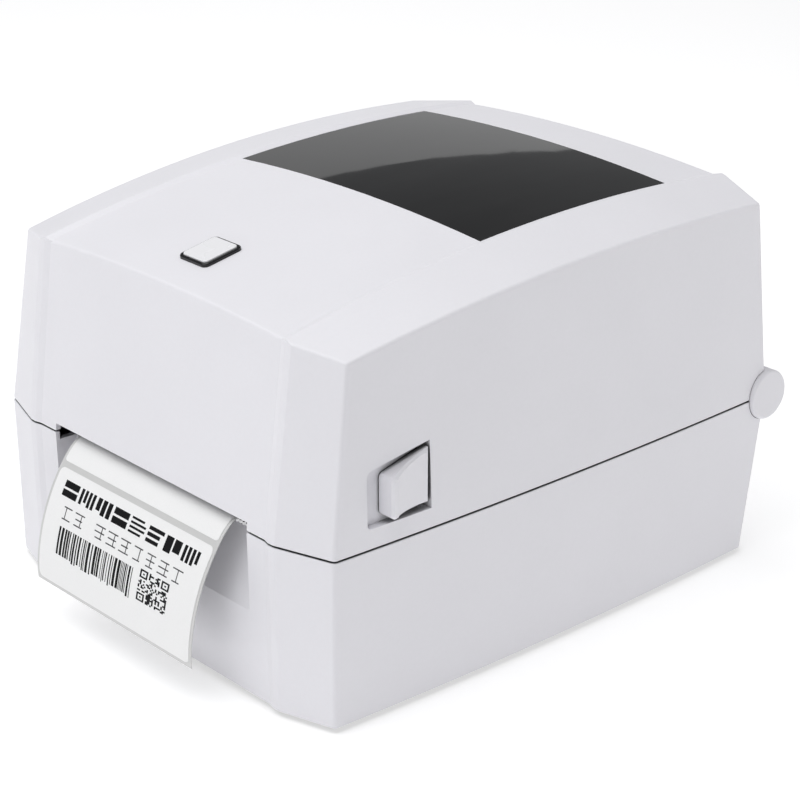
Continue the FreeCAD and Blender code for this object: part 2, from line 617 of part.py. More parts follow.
def hinge_rod():
    return rod_x(HINGE_Y, HINGE_Z, HINGE_ROD_R, -104, 104)


def hinge_caps():
    disc = rod_x(HINGE_Y, HINGE_Z, CAP_R, CAP_X0 + 3, CAP_X1)
    disc = disc.makeFillet(1.3, [e for e in disc.Edges if e.BoundBox.XMin > CAP_X1 - 0.01])
    return both(disc.cut(rod_x(HINGE_Y, HINGE_Z, HINGE_ROD_R, 90, 104.5)))


# ---------------------------------------------------------------- label, roll and guides

def label_curve(offset, start, end):
    """Part of the hanging strip's side view, start and end as fractions of its length, offset to one face."""
    curve = Part.BSplineCurve()
    curve.interpolate([V(0, y, z) for y, z in CURL])
    span = curve.LastParameter - curve.FirstParameter
    points = []
    steps = 14
    for i in range(steps + 1):
        u = curve.FirstParameter + span * (start + (end - start) * i / steps)
        p, t = curve.value(u), curve.tangent(u)[0]
        points.append(V(0, p.y + offset * t.z, p.z - offset * t.y))
    smooth = Part.BSplineCurve()
    smooth.interpolate(points)
    return smooth


def hanging_strip(low, high, half, start=0.0, end=1.0):
    a, b = label_curve(low, start, end), label_curve(high, start, end)
    pa, pb = a.value(a.FirstParameter), b.value(b.FirstParameter)
    qa, qb = a.value(a.LastParameter), b.value(b.LastParameter)
    wire = Part.Wire([a.toShape(), Part.makeLine(qa, qb), b.toShape(), Part.makeLine(pb, pa)])
    wire.translate(V(-half, 0, 0))
    return Part.Face(wire).extrude(V(2 * half, 0, 0))


def web_tangent():
    """Where the web meets the roll, on the tangent from its bend to the roll's upper front, and its slope."""
    dy, dz = ROLL_Y - WEB_BEND_Y, ROLL_Z - WEB_Z
    gap_r = ROLL_R + 0.4
    lean = math.atan2(dz, dy) + math.asin(gap_r / math.hypot(dy, dz))
    reach = math.sqrt(dy * dy + dz * dz - gap_r ** 2)
    return WEB_BEND_Y + reach * math.cos(lean), WEB_Z + reach * math.sin(lean), lean


def label_liner():
    """The backing paper from the roll, flat over the platen, and out through the slot."""
    y, z, lean = web_tangent()
    up = V(0, -math.sin(lean) * LABEL_T, math.cos(lean) * LABEL_T)
    c, d = V(-LABEL_HALF, WEB_BEND_Y, WEB_Z), V(-LABEL_HALF, y, z)
    sloping = prism([c, d, d + up, c + up], V(2 * LABEL_HALF, 0, 0))
    start = CURL[0][0] - 0.6
    flat = box(-LABEL_HALF, LABEL_HALF, start, WEB_BEND_Y, WEB_Z, WEB_Z + LABEL_T)
    return hanging_strip(0, LABEL_T, LABEL_HALF).fuse([flat, sloping])


def printed_labels():
    """Two die-cut labels on the liner: the end of one near the slot and the whole printed one below it."""
    low, high = LABEL_T + 0.01, LABEL_T + 0.16
    return Part.makeCompound([hanging_strip(low, high, LABEL_HALF - 1.5, *span) for span in LABEL_SPANS])


def label_roll():
    return rod_x(ROLL_Y, ROLL_Z, ROLL_R, -LABEL_HALF, LABEL_HALF).cut(rod_x(ROLL_Y, ROLL_Z, CORE_R, -60, 60))


def roll_core():
    tube = rod_x(ROLL_Y, ROLL_Z, CORE_R, -LABEL_HALF, LABEL_HALF)
    return tube.cut(rod_x(ROLL_Y, ROLL_Z, CORE_BORE, -60, 60))


def media_tray():
    well = rod_x(ROLL_Y, ROLL_Z, TRAY_R + WALL, -78, 78).cut(rod_x(ROLL_Y, ROLL_Z, TRAY_R, -75.5, 75.5))
    well = well.common(box(-80, 80, 90, 250, 8, 66))
    rim = box(-103, 103, 92, 236, 63.5, 66).cut(box(-78, 78, 104, 232, 60, 70))
    slots = [box(s * 61.5 - 12, s * 61.5 + 12, 160, 176, 5, 22) for s in (-1, 1)]
    tray = well.fuse(rim).cut(Part.makeCompound(slots))
    return tray.cut(Part.makeCompound([rod_z(s * 92, 226, 4.5, 60, 70) for s in (-1, 1)]))


def media_guide():
    """The right guide: a side plate with a hub in the core, on a foot with a rack under the tray."""
    plate = rod_x(ROLL_Y, ROLL_Z, 57, GUIDE_IN, GUIDE_OUT).common(box(50, 60, 142, 194, 20, 112))
    hub = rod_x(ROLL_Y, ROLL_Z, CORE_BORE - 0.4, 46, GUIDE_IN)
    hub = hub.makeFillet(2.0, [e for e in hub.Edges if e.BoundBox.XMax < 46.1])
    neck = box(GUIDE_IN, GUIDE_OUT, 162.5, 173.5, 6, 22)
    pitch_y = ROLL_Y - MODULE * GUIDE_TEETH / 2
    foot = box(GUIDE_IN, GUIDE_OUT + 2, pitch_y - 5, 173.5, 5.6, 9)
    bar = box(-28, GUIDE_OUT, pitch_y - 5, pitch_y - 1.2 * MODULE, 5.6, 9)
    guide = plate.fuse([hub, neck, foot, bar])
    pitch = math.pi * MODULE
    half, lean = pitch / 4 - 0.08, math.tan(math.radians(20))
    teeth = []
    for n in range(-9, 9):
        x = (n + 0.5) * pitch
        low, high = pitch_y - 1.3 * MODULE, pitch_y + 0.9 * MODULE
        w0, w1 = half + 1.3 * MODULE * lean, half - 0.9 * MODULE * lean
        teeth.append(prism_z([(x - w0, low), (x + w0, low), (x + w1, high), (x - w1, high)], 5.6, 9))
    return guide.fuse(teeth).removeSplitter()


def turned(shape):
    """The same piece turned half round about the upright through the middle of the roll."""
    shape = shape.copy()
    shape.rotate(V(0, ROLL_Y, 0), V(0, 0, 1), 180)
    return shape


# ---------------------------------------------------------------- print mechanism in the base

def side_frame():
    x0, x1 = FRAME_X0, FRAME_X1
    plate = prism_x([(14, 2), (84, 2), (84, 50), (60, 60), (36, 72), (30, 80), (14, 80)], x0, x1)
    foot = box(x1 - 0.2, x1 + 10, 14, 84, 2, 3.5)
    frame = plate.fuse(foot).cut(rod_x(PLATEN_Y, PLATEN_Z, 5.5, 55, 70))
    frame = frame.cut(box(55, 70, 16.5, 27.5, 4, 8))
    return frame.cut(Part.makeCompound([rod_z(FRAME_SCREW_X, y, 1.9, 0, 6) for y in FRAME_SCREW_Y]))


def drive_centres():
    idler = along(PLATEN_Y, PLATEN_Z, MODULE * (PLATEN_TEETH + IDLER_TEETH) / 2 + 0.02, DRIVE_ANGLE)
    pinion = along(idler[0], idler[1], MODULE * (IDLER_TEETH + PINION_TEETH) / 2 + 0.02, DRIVE_ANGLE)
    return idler, pinion


def side_frame_right():
    idler, pinion = drive_centres()
    frame = side_frame().cut(rod_x(pinion[0], pinion[1], 8, 55, 70))
    return frame.cut(rod_x(idler[0], idler[1], 2.5, 55, 70))


def platen_bushes():
    bush = rod_x(PLATEN_Y, PLATEN_Z, 5.45, 60.5, 64.0).fuse(rod_x(PLATEN_Y, PLATEN_Z, 7, 64.0, 65.2))
    return both(bush.cut(rod_x(PLATEN_Y, PLATEN_Z, SHAFT_R + RUN, 55, 75)))


def platen_roller():
    roller = rod_x(PLATEN_Y, PLATEN_Z, PLATEN_R, -56, 56)
    roller = roller.makeFillet(0.6, [e for e in roller.Edges if e.BoundBox.XLength < 0.01])
    return roller.cut(rod_x(PLATEN_Y, PLATEN_Z, SHAFT_R + 0.01, -60, 60))


def platen_shaft():
    return rod_x(PLATEN_Y, PLATEN_Z, SHAFT_R, -70, GEAR_X1 + 2)


def platen_gear():
    return gear_x(PLATEN_TEETH, DRIVE_ANGLE, PLATEN_Y, PLATEN_Z, GEAR_X0, GEAR_X1, SHAFT_R + 0.01)


def idler_gear():
    y, z = drive_centres()[0]
    gap_turn = 180.0 / IDLER_TEETH
    return gear_x(IDLER_TEETH, DRIVE_ANGLE + gap_turn, y, z, GEAR_X0 + 0.5, GEAR_X1 - 0.5, 2.5 + RUN)


def idler_pin():
    y, z = drive_centres()[0]
    return rod_x(y, z, 2.5, 60, GEAR_X1).fuse([rod_x(y, z, 4, GEAR_X1, GEAR_X1 + 1),
                                              rod_x(y, z, 4.2, FRAME_X1, GEAR_X0)])


def guide_pin():
    return rod_z(0, ROLL_Y, 2.0, -0.6, 9.6).fuse(rod_z(0, ROLL_Y, 3.4, 9.6, 10.6))


def motor_pinion():
    y, z = drive_centres()[1]
    gear = gear_x(PINION_TEETH, DRIVE_ANGLE + 180, y, z, GEAR_X0, GEAR_X1, 1.5)
    return gear.fuse(rod_x(y, z, 1.5, 57, GEAR_X1 + 1))


def drive_motor():
    y, z = drive_centres()[1]
    body = rod_x(y, z, 17.5, 30, FRAME_X0 - 1)
    body = body.makeFillet(1.0, [e for e in body.Edges if e.BoundBox.XMax < 30.1])
    flange = rod_x(y, z, 17.5, FRAME_X0 - 1, FRAME_X0).fuse(rod_x(y, z, 7.5, FRAME_X0 - 1, FRAME_X1))
    plug = box(33, 45, y - 9, y + 9, z - 19.5, z - 14)
    return body.fuse([flange, plug]).cut(rod_x(y, z, 1.5 + RUN, 56, 70))


def tear_bar():
    """A steel strip along the slot with a saw-toothed front edge."""
    count, half = 58, 58.0
    pitch = 2 * half / count
    rear, gullet, tip = 13.6, 10.4, 9.4
    outline = [(half, rear), (-half, rear), (-half, gullet)]
    for n in range(count):
        outline.append((-half + (n + 0.5) * pitch, tip))
        outline.append((-half + (n + 1) * pitch, gullet))
    return prism_z(outline, RECESS_TOP + 0.02, RECESS_TOP + 1.2)


def base_screws():
    """The screws up through the bottom plate, and those that hold the side frames down on it."""
    sides = (-1, 1)
    outer = [pan_screw(s * PLATE_SCREW_X, y, -0.8, 3.2, 1.45, 16, 1) for s in sides for y in PLATE_SCREW_Y]
    inner = [pan_screw(s * FRAME_SCREW_X, y, 3.5, 3, 1.45, 3.3, -1) for s in sides for y in FRAME_SCREW_Y]
    return Part.makeCompound(outer + inner)


def sensor_bar():
    return box(-61.98, 61.98, 38, 46, 64.0, 65.5).fuse([box(60.4, 61.98, 38, 46, 58, 64.5),
                                                       box(-61.98, -60.4, 38, 46, 58, 64.5)])


def label_sensor():
    body = rounded_block_z(8, 4, 1.0, 65.5, 71.6)
    body.translate(V(0, 42, 0))
    return body.cut(rod_z(0, 42, 1.2, 70, 80))


# ---------------------------------------------------------------- electronics

def main_board():
    holes = [rod_z(x, y, 1.6, 5, 10) for x, y in board_corners()]
    return box(-56, 56, 20, 92, 7.0, 8.6).cut(Part.makeCompound(holes))


def board_corners():
    return [(s * 51, y) for s in (-1, 1) for y in (25, 87)]


def board_standoffs():
    posts = []
    for x, y in board_corners():
        pin, head = rod_z(x, y, 1.55, 7.0, 8.6), rod_z(x, y, 2.6, 8.6, 10.2)
        posts.append(rod_z(x, y, 3.2, 2.0, 7.0).fuse([pin, head]))
    return Part.makeCompound(posts)


def board_components():
    parts = [box(-20, 0, 50, 70, 8.6, 10.4), box(-48, -36, 30, 40, 8.6, 13), box(-48, -36, 46, 56, 8.6, 11),
             box(-14, 22, 82, 89, 8.6, 16), box(-46, -24, 82, 89, 8.6, 15), box(8, 14, 26, 32, 8.6, 11)]
    parts += [rod_z(x, 34, 4, 8.6, 17.5) for x in (-24, -14, -4)]
    parts += [box(x, x + 4, 72, 76, 8.6, 10) for x in (-40, -32, -24, -16, -8, 2)]
    return Part.makeCompound(parts)


def power_inlet():
    body = box(2, 14, 232, 242.4, 18, 30).fuse(rod_y(8, 24, 4.5, 242.3, 245))
    return body.cut(rod_y(8, 24, 3.2, 234, 250)).fuse(rod_y(8, 24, 1.0, 233, 244))


def data_port():
    shell = box(-35, -23, 230, 244.6, 18.5, 29.5)
    shell = shell.cut(box(-33.5, -24.5, 233, 250, 20, 28))
    return shell.fuse(box(-31.8, -26.2, 232, 243.5, 22.4, 25.6))


def power_switch_housing():
    body = box(31, 50, 234, 242.4, 18.5, 31.5).fuse(box(28.8, 52.2, 245.0, 246.2, 16.6, 33.4))
    body = body.fuse(box(30.2, 50.8, 242.3, 245.1, 18, 32))
    body = body.cut(box(33, 48, 236, 250, 20, 30))
    return body.cut(rod_x(ROCKER_Y, ROCKER_Z, ROCKER_PIN_R + RUN, 31.6, 49.4))


def power_rocker():
    rocker = prism_x([(239.5, 20.5), (247.2, 20.4), (245.8, 25.0), (248.0, 28.6), (239.5, 29.3)], 33.4, 47.6)
    return rocker.fuse(rod_x(ROCKER_Y, ROCKER_Z, ROCKER_PIN_R, 31.8, 49.2))


def wiring_loom():
    """The leads from the rear ports forward beside the tray to the main board."""
    loom = []
    for x, z in ((80, 4.6), (84, 4.6)):
        path = [V(x - 40, 240.2, z), V(x - 6, 240.2, z), V(x, 234.2, z), V(x, 104, z), V(x - 6, 98, z),
                V(12, 98, z)]
        corner_a = Part.Arc(path[1], V(x - 1.757, 238.443, z), path[2]).toShape()
        corner_b = Part.Arc(path[3], V(x - 1.757, 99.757, z), path[4]).toShape()
        straights = [Part.makeLine(path[n], path[n + 1]) for n in (0, 2, 4)]
        wire = Part.Wire([straights[0], corner_a, straights[1], corner_b, straights[2]])
        section = Part.Wire(Part.makeCircle(1.4, path[0], V(1, 0, 0)))
        loom.append(wire.makePipeShell([section], True, True))
    return Part.makeCompound(loom)


# ---------------------------------------------------------------- pieces carried by the cover

def cover_frame():
    x0, x1 = COVER_FRAME_X0, COVER_FRAME_X1
    plate = prism_x([(24, 87), (62, 87), (112, 116), (122, 124), (122, 139.5), (24, 139.5)], x0, x1)
    tabs = [box(x1 - 0.2, 72, y - 5, y + 5, 138, 139.5) for y in COVER_SCREW_Y]
    side = plate.fuse(tabs)
    side = side.cut(rod_x(SUPPLY_Y, SUPPLY_Z, SHAFT_R + RUN, 50, 70))
    side = side.cut(rod_x(TAKEUP_Y, TAKEUP_Z, SHAFT_R + RUN, 50, 70))
    side = side.cut(rod_x(HEAD_PIVOT_Y, HEAD_PIVOT_Z, HEAD_PIN_R, 50, 70))
    side = side.cut(Part.makeCompound([rod_z(COVER_SCREW_X, y, 1.7, 130, 150) for y in COVER_SCREW_Y]))
    cross = box(-x0 - 0.2, x0 + 0.2, 27.8, 40, 97, 98.5)
    rear = box(-x0 - 0.2, x0 + 0.2, 118.6, 121.8, 136, 137.5)
    return side.fuse([mirror(side), cross, rear]).removeSplitter()


def cover_screws():
    places = [(s * COVER_SCREW_X, y) for s in (-1, 1) for y in COVER_SCREW_Y]
    return Part.makeCompound([pan_screw(x, y, 138.0, 3, 1.45, 9, 1) for x, y in places])


def printhead():
    return box(-54, 54, 16.2, 29.5, 73.4, 75.2)


def head_sink():
    sink = box(-55, 55, 20.6, 33.5, 75.2, 83.0)
    return sink.cut(Part.makeCompound([box(-60, 60, y, y + 1.6, 77.2, 83.0) for y in (22.2, 25.4, 28.6)]))


def head_bracket():
    plate = box(-57.5, 57.5, 21.5, 36, 83.0, 84.6)
    arm = prism_x([(30, 83), (36, 83), (60, 86), (60, 95), (52, 95), (30, 84.6)], 56, 57.5)
    arm = arm.cut(rod_x(HEAD_PIVOT_Y, HEAD_PIVOT_Z, HEAD_PIN_R + RUN, 50, 70))
    return plate.fuse([arm, mirror(arm)])


def head_springs():
    return Part.makeCompound([coil_z(x, 31.5, 84.8, 96.8, 3.2, 0.5, 5) for x in (-36, 36)])


def spool(y, z, end):
    """A ribbon spindle with its journals in the cover frame, the right one reaching to x = end."""
    return rod_x(y, z, 6, -58, 58).fuse(rod_x(y, z, SHAFT_R, -61.5, end))


def wound_ribbon(y, z, r):
    return rod_x(y, z, r, -RIBBON_HALF, RIBBON_HALF).cut(rod_x(y, z, 6.01, -60, 60))


def takeup_gear():
    return gear_x(TAKEUP_TEETH, RIBBON_ANGLE, TAKEUP_Y, TAKEUP_Z, 62.0, 66.0, SHAFT_R + 0.01)


def ribbon_pinion_centre():
    return along(TAKEUP_Y, TAKEUP_Z, MODULE * (TAKEUP_TEETH + RIBBON_PINION_TEETH) / 2 + 0.02, RIBBON_ANGLE)


def ribbon_pinion():
    y, z = ribbon_pinion_centre()
    turn = RIBBON_ANGLE + 180 + 180.0 / RIBBON_PINION_TEETH
    gear = gear_x(RIBBON_PINION_TEETH, turn, y, z, 62.0, 66.0, 1.2)
    return gear.fuse(rod_x(y, z, 1.2, 61.8, 74))


def ribbon_motor():
    y, z = ribbon_pinion_centre()
    can = rod_x(y, z, 9.4, 68, 92)
    can = can.makeFillet(1.5, [e for e in can.Edges if e.BoundBox.XMin > 91.9])
    legs = [rod_x(y + dy, z + dz, 1.8, COVER_FRAME_X1, 69) for dy, dz in ((-0.5, -9.3), (9.0, -3.0))]
    ear = box(66.8, 68.4, y - 5, y + 11, z - 11.2, z + 1.6)
    return can.fuse(legs + [ear]).cut(rod_x(y, z, 1.2 + RUN, 60, 76)).cut(rod_x(y, z, 3, 60, 68.0))


def ribbon_film():
    """The ribbon's run from the supply, under the printhead and up to the take-up, as one thin bent sheet."""
    t = 0.12
    run = [(SUPPLY_Y - 11.8, SUPPLY_Z - 14.3), (34.6, 74.6), (30.2, 73.12), (15.6, 73.12), (12.4, 75.0),
           (TAKEUP_Y - 13.4, TAKEUP_Z - 5.6)]
    upper = [(y, z + t) for y, z in run]
    upper[0] = (run[0][0] - t, run[0][1] + t)
    upper[4] = (run[4][0] + t, run[4][1] + t / 2)
    upper[5] = (run[5][0] + t, run[5][1])
    return prism_x(run + upper[::-1], -RIBBON_HALF, RIBBON_HALF)


# ---------------------------------------------------------------- all pieces

def pieces():
    yield "lower_housing", lower_housing()
    yield "upper_cover", upper_cover()
    yield "viewing_window", viewing_window()
    yield "window_frame", window_frame()
    yield "bottom_plate", bottom_plate()
    yield "rubber_feet", rubber_feet()
    yield "base_screws", base_screws()
    yield "button_bezel", button_bezel()
    yield "feed_button", feed_button()
    yield "button_board", button_board()
    lever = latch_lever()
    yield "latch_lever_right", lever
    yield "latch_lever_left", mirror(lever)
    yield "pivot_pins", pivot_pins()
    yield "latch_springs", latch_springs()
    yield "catch_pins", catch_pins()
    yield "hinge_rod", hinge_rod()
    yield "hinge_caps", hinge_caps()
    yield "label_liner", label_liner()
    yield "printed_labels", printed_labels()
    yield "label_roll", label_roll()
    yield "roll_core", roll_core()
    yield "media_tray", media_tray()
    guide = media_guide()
    yield "media_guide_right", guide
    yield "media_guide_left", turned(guide)
    yield "guide_pinion", gear_z(GUIDE_TEETH, 90, 0, ROLL_Y, 5.6, 9.0, 2.0 + RUN)
    yield "gear_pins", Part.makeCompound([idler_pin(), guide_pin()])
    yield "side_frame_right", side_frame_right()
    yield "side_frame_left", mirror(side_frame())
    yield "platen_bushes", platen_bushes()
    yield "platen_roller", platen_roller()
    yield "platen_shaft", platen_shaft()
    yield "platen_gear", platen_gear()
    yield "idler_gear", idler_gear()
    yield "motor_pinion", motor_pinion()
    yield "drive_motor", drive_motor()
    yield "tear_bar", tear_bar()
    yield "sensor_bar", sensor_bar()
    yield "label_sensor", label_sensor()
    yield "main_board", main_board()
    yield "board_standoffs", board_standoffs()
    yield "board_components", board_components()
    yield "power_inlet", power_inlet()
    yield "data_port", data_port()
    yield "power_switch_housing", power_switch_housing()
    yield "power_rocker", power_rocker()
    yield "wiring_loom", wiring_loom()
    yield "cover_frame", cover_frame()
    yield "cover_screws", cover_screws()
    yield "printhead", printhead()
    yield "head_sink", head_sink()
    yield "head_bracket", head_bracket()
    yield "head_springs", head_springs()
    yield "ribbon_supply_spool", spool(SUPPLY_Y, SUPPLY_Z, 61.5)
    yield "ribbon_supply_roll", wound_ribbon(SUPPLY_Y, SUPPLY_Z, SUPPLY_R)
    yield "ribbon_takeup_spool", spool(TAKEUP_Y, TAKEUP_Z, 66.0)
    yield "ribbon_takeup_roll", wound_ribbon(TAKEUP_Y, TAKEUP_Z, TAKEUP_R)
    yield "takeup_gear", takeup_gear()
    yield "ribbon_pinion", ribbon_pinion()
    yield "ribbon_motor", ribbon_motor()
    yield "ribbon_film", ribbon_film()


def main():
    os.makedirs("parts", exist_ok=True)
    total = None
    for name, shape in pieces():
        bounds = shape.optimalBoundingBox(False)
        total = bounds if total is None else total
        total.add(bounds)
        if not shape.isValid() or shape.Volume <= 0:
            print("CHECK", name, shape.isValid(), shape.Volume)
        save(name, shape)
    print("x", total.XMin, total.XMax, "y", total.YMin - Y_MID, total.YMax - Y_MID, "z", total.ZMax + FOOT_H)


if __name__ == "__main__":
    main()
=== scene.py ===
import itertools
import math
import random

import bmesh
import bpy
import numpy as np
from mathutils import Matrix, Vector


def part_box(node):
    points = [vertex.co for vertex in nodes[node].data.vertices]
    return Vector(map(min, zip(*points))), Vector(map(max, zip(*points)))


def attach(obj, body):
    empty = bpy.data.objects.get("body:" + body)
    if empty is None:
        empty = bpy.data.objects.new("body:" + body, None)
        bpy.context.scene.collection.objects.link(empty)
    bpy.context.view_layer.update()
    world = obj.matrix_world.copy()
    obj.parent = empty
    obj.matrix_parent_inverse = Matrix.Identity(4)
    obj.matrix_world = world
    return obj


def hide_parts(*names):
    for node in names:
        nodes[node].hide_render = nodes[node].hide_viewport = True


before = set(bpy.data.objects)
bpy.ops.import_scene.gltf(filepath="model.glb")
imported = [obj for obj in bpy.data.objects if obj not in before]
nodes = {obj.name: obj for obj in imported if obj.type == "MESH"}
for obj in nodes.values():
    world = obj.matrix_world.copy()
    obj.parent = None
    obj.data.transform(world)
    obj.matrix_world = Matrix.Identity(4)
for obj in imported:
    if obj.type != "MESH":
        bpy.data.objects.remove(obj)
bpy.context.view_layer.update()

MM = 0.001


# ---------------------------------------------------------------- camera, floor and light

CAMERA_AT = Vector((0.6903, -0.609285, 0.4645))
CAMERA_AZIMUTH, CAMERA_PITCH = math.radians(47.844), math.radians(22.98)
CAMERA_LENS, SENSOR_WIDTH, CLIP_END = 103.47, 36.0, 200.0
ROOM_TINT, ROOM_STRENGTH, BACKDROP_STRENGTH = (0.97, 0.98, 1.0), 0.27, 1.0
FLOOR_HALF, FLOOR_COLOUR, FLOOR_GLOW = 40.0, (0.62, 0.62, 0.625), 0.56

# The cover's bowed centre band: where it is highest, and its radius.
BAND_CROWN_Y, BAND_RADIUS = 0.0513, 0.764

# The light panel that the viewing window mirrors.
GLOW_REACH, GLOW_RISE, GLOW_OVERRUN = 1.6, 0.62, 1.6
GLOW_POWER, GLOW_FADE = 0.68, (1.5, 0.35)


def back_vector(azimuth, pitch):
    """Away from the object towards a viewer at that azimuth, measured from the front towards the right."""
    flat = math.cos(pitch)
    return Vector((math.sin(azimuth) * flat, -math.cos(azimuth) * flat, math.sin(pitch)))


def make_camera():
    data = bpy.data.cameras.new("camera")
    data.lens = CAMERA_LENS
    data.sensor_width = SENSOR_WIDTH
    data.clip_end = CLIP_END
    camera = bpy.data.objects.new("camera", data)
    camera.location = CAMERA_AT
    camera.rotation_euler = (-back_vector(CAMERA_AZIMUTH, CAMERA_PITCH)).to_track_quat("-Z", "Y").to_euler()
    bpy.context.scene.collection.objects.link(camera)
    bpy.context.scene.camera = camera


def softbox(name, at, target, wide, high, power, tint=(1, 1, 1), fade=None):
    """A rectangular studio light aimed at a point; fade = (bottom, top) grades it up its height."""
    data = bpy.data.lights.new(name, "AREA")
    data.shape = "RECTANGLE"
    data.size, data.size_y = wide, high
    data.energy = power
    data.color = tint
    light = bpy.data.objects.new(name, data)
    light.location = at
    light.rotation_euler = (Vector(target) - Vector(at)).to_track_quat("-Z", "Y").to_euler()
    light.visible_camera = False
    bpy.context.scene.collection.objects.link(light)
    if fade:
        data.use_nodes = True
        tree = data.node_tree
        emission = next(n for n in tree.nodes if n.type == "EMISSION")
        geometry = tree.nodes.new("ShaderNodeNewGeometry")
        split = tree.nodes.new("ShaderNodeSeparateXYZ")
        grade = tree.nodes.new("ShaderNodeMapRange")
        tree.links.new(geometry.outputs["Parametric"], split.inputs[0])
        tree.links.new(split.outputs[1], grade.inputs["Value"])
        grade.inputs["To Min"].default_value, grade.inputs["To Max"].default_value = fade
        tree.links.new(grade.outputs[0], emission.inputs["Strength"])
    return light


def make_world():
    """Plain grey light from all round, with a white backdrop behind the object."""
    world = bpy.data.worlds.new("studio")
    bpy.context.scene.world = world
    world.use_nodes = True
    tree = world.node_tree
    tree.nodes.clear()
    out = tree.nodes.new("ShaderNodeOutputWorld")
    room = tree.nodes.new("ShaderNodeBackground")
    room.inputs["Color"].default_value = (*ROOM_TINT, 1)
    room.inputs["Strength"].default_value = ROOM_STRENGTH
    backdrop = tree.nodes.new("ShaderNodeBackground")
    backdrop.inputs["Strength"].default_value = BACKDROP_STRENGTH
    ray = tree.nodes.new("ShaderNodeLightPath")
    choose = tree.nodes.new("ShaderNodeMixShader")
    tree.links.new(ray.outputs["Is Camera Ray"], choose.inputs[0])
    tree.links.new(room.outputs[0], choose.inputs[1])
    tree.links.new(backdrop.outputs[0], choose.inputs[2])
    tree.links.new(choose.outputs[0], out.inputs["Surface"])


def make_floor():
    """A wide sheet of pale paper that glows a little, so that it fades into the backdrop."""
    half = FLOOR_HALF
    corners = [(-half, -half, 0), (half, -half, 0), (half, half, 0), (-half, half, 0)]
    mesh = bpy.data.meshes.new("floor")
    mesh.from_pydata(corners, [], [(0, 1, 2, 3)])
    floor = bpy.data.objects.new("floor", mesh)
    bpy.context.scene.collection.objects.link(floor)
    material = bpy.data.materials.new("floor_paper")
    material.use_nodes = True
    shader = material.node_tree.nodes["Principled BSDF"]
    shader.inputs["Base Color"].default_value = (*FLOOR_COLOUR, 1)
    shader.inputs["Roughness"].default_value = 0.9
    shader.inputs["Specular IOR Level"].default_value = 0.1
    shader.inputs["Emission Color"].default_value = (1, 1, 1, 1)
    shader.inputs["Emission Strength"].default_value = FLOOR_GLOW
    mesh.materials.append(material)


def make_lights():
    """A large softbox overhead, weak fill from the front, and a low fill for the right side."""
    cool, warm = (0.98, 0.985, 1.0), (1.0, 0.985, 0.97)
    softbox("overhead", (-0.2, -0.38, 1.48), (0, 0, 0.1), 1.6, 1.6, power=20.8)
    softbox("front_left", (-0.4, -1.75, 0.8), (0, 0, 0.08), 1.0, 1.0, power=0.4, tint=cool)
    softbox("front_low", (0.5, -1.7, 0.16), (0, 0, 0.05), 0.8, 0.3, power=1.9)
    softbox("right_low", (1.1, 1.3, 0.5), (0, 0, 0.08), 0.9, 0.9, power=4.6, tint=warm)


def mirrored(point):
    """The way on from the camera's view of a point on the bowed band, once the band has mirrored it."""
    lean = (point.y - BAND_CROWN_Y) / BAND_RADIUS
    normal = Vector((0, math.sin(lean), math.cos(lean)))
    ray = (point - CAMERA_AT).normalized()
    return ray - 2 * ray.dot(normal) * normal


def window_light():
    """A graded light panel at the rear left, whose upper edge mirrors as the viewing window's diagonal."""
    low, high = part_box("viewing_window")
    front_left = Vector((low.x, low.y, low.z + 2 * MM))
    rear_right = Vector((high.x, high.y, high.z - 6 * MM))
    begin = front_left + mirrored(front_left) * GLOW_REACH
    end = rear_right + mirrored(rear_right) * GLOW_REACH
    along = (end - begin).normalized()
    middle = (begin + end) / 2
    facing = (Vector((0, (low.y + high.y) / 2, high.z)) - middle).normalized()
    up = facing.cross(along).normalized()
    if up.z < 0:
        up = -up
    centre = middle - up * (GLOW_RISE / 2)
    length = (end - begin).length * GLOW_OVERRUN
    light = softbox("window_glow", centre, centre + facing, length, GLOW_RISE, GLOW_POWER, fade=GLOW_FADE)
    height = along.cross(facing).normalized()
    depth = along.cross(height).normalized()
    light.matrix_world = Matrix((along, height, depth)).transposed().to_4x4()
    light.location = centre


bpy.context.scene.view_settings.view_transform = "Standard"
make_camera()
make_world()
make_floor()
make_lights()
window_light()


# ---------------------------------------------------------------- material helpers

def start(name):
    """A new node material: the material, its tree, its shader and the object-space coordinates."""
    material = bpy.data.materials.new(name)
    material.use_nodes = True
    tree = material.node_tree
    shader = tree.nodes["Principled BSDF"]
    place = tree.nodes.new("ShaderNodeTexCoord").outputs["Object"]
    return material, tree, shader, place


def noise(tree, place, size, detail=3.0, stretch=None, distortion=0.0):
    """Noise with features about size metres across, stretched along an axis if asked."""
    if stretch:
        mapping = tree.nodes.new("ShaderNodeMapping")
        mapping.inputs["Scale"].default_value = stretch
        tree.links.new(place, mapping.inputs["Vector"])
        place = mapping.outputs[0]
    node = tree.nodes.new("ShaderNodeTexNoise")
    node.inputs["Scale"].default_value = 1.0 / size
    node.inputs["Detail"].default_value = detail
    node.inputs["Distortion"].default_value = distortion
    tree.links.new(place, node.inputs["Vector"])
    return node.outputs["Fac"]


def remap(tree, value, low, high, new_low, new_high):
    node = tree.nodes.new("ShaderNodeMapRange")
    node.inputs["From Min"].default_value, node.inputs["From Max"].default_value = low, high
    node.inputs["To Min"].default_value, node.inputs["To Max"].default_value = new_low, new_high
    tree.links.new(value, node.inputs["Value"])
    return node.outputs[0]


def math_node(tree, kind, a, b=None):
    node = tree.nodes.new("ShaderNodeMath")
    node.operation = kind
    for socket, value in zip(node.inputs, (a, b)):
        if isinstance(value, (int, float)):
            socket.default_value = value
        elif value is not None:
            tree.links.new(value, socket)
    return node.outputs[0]


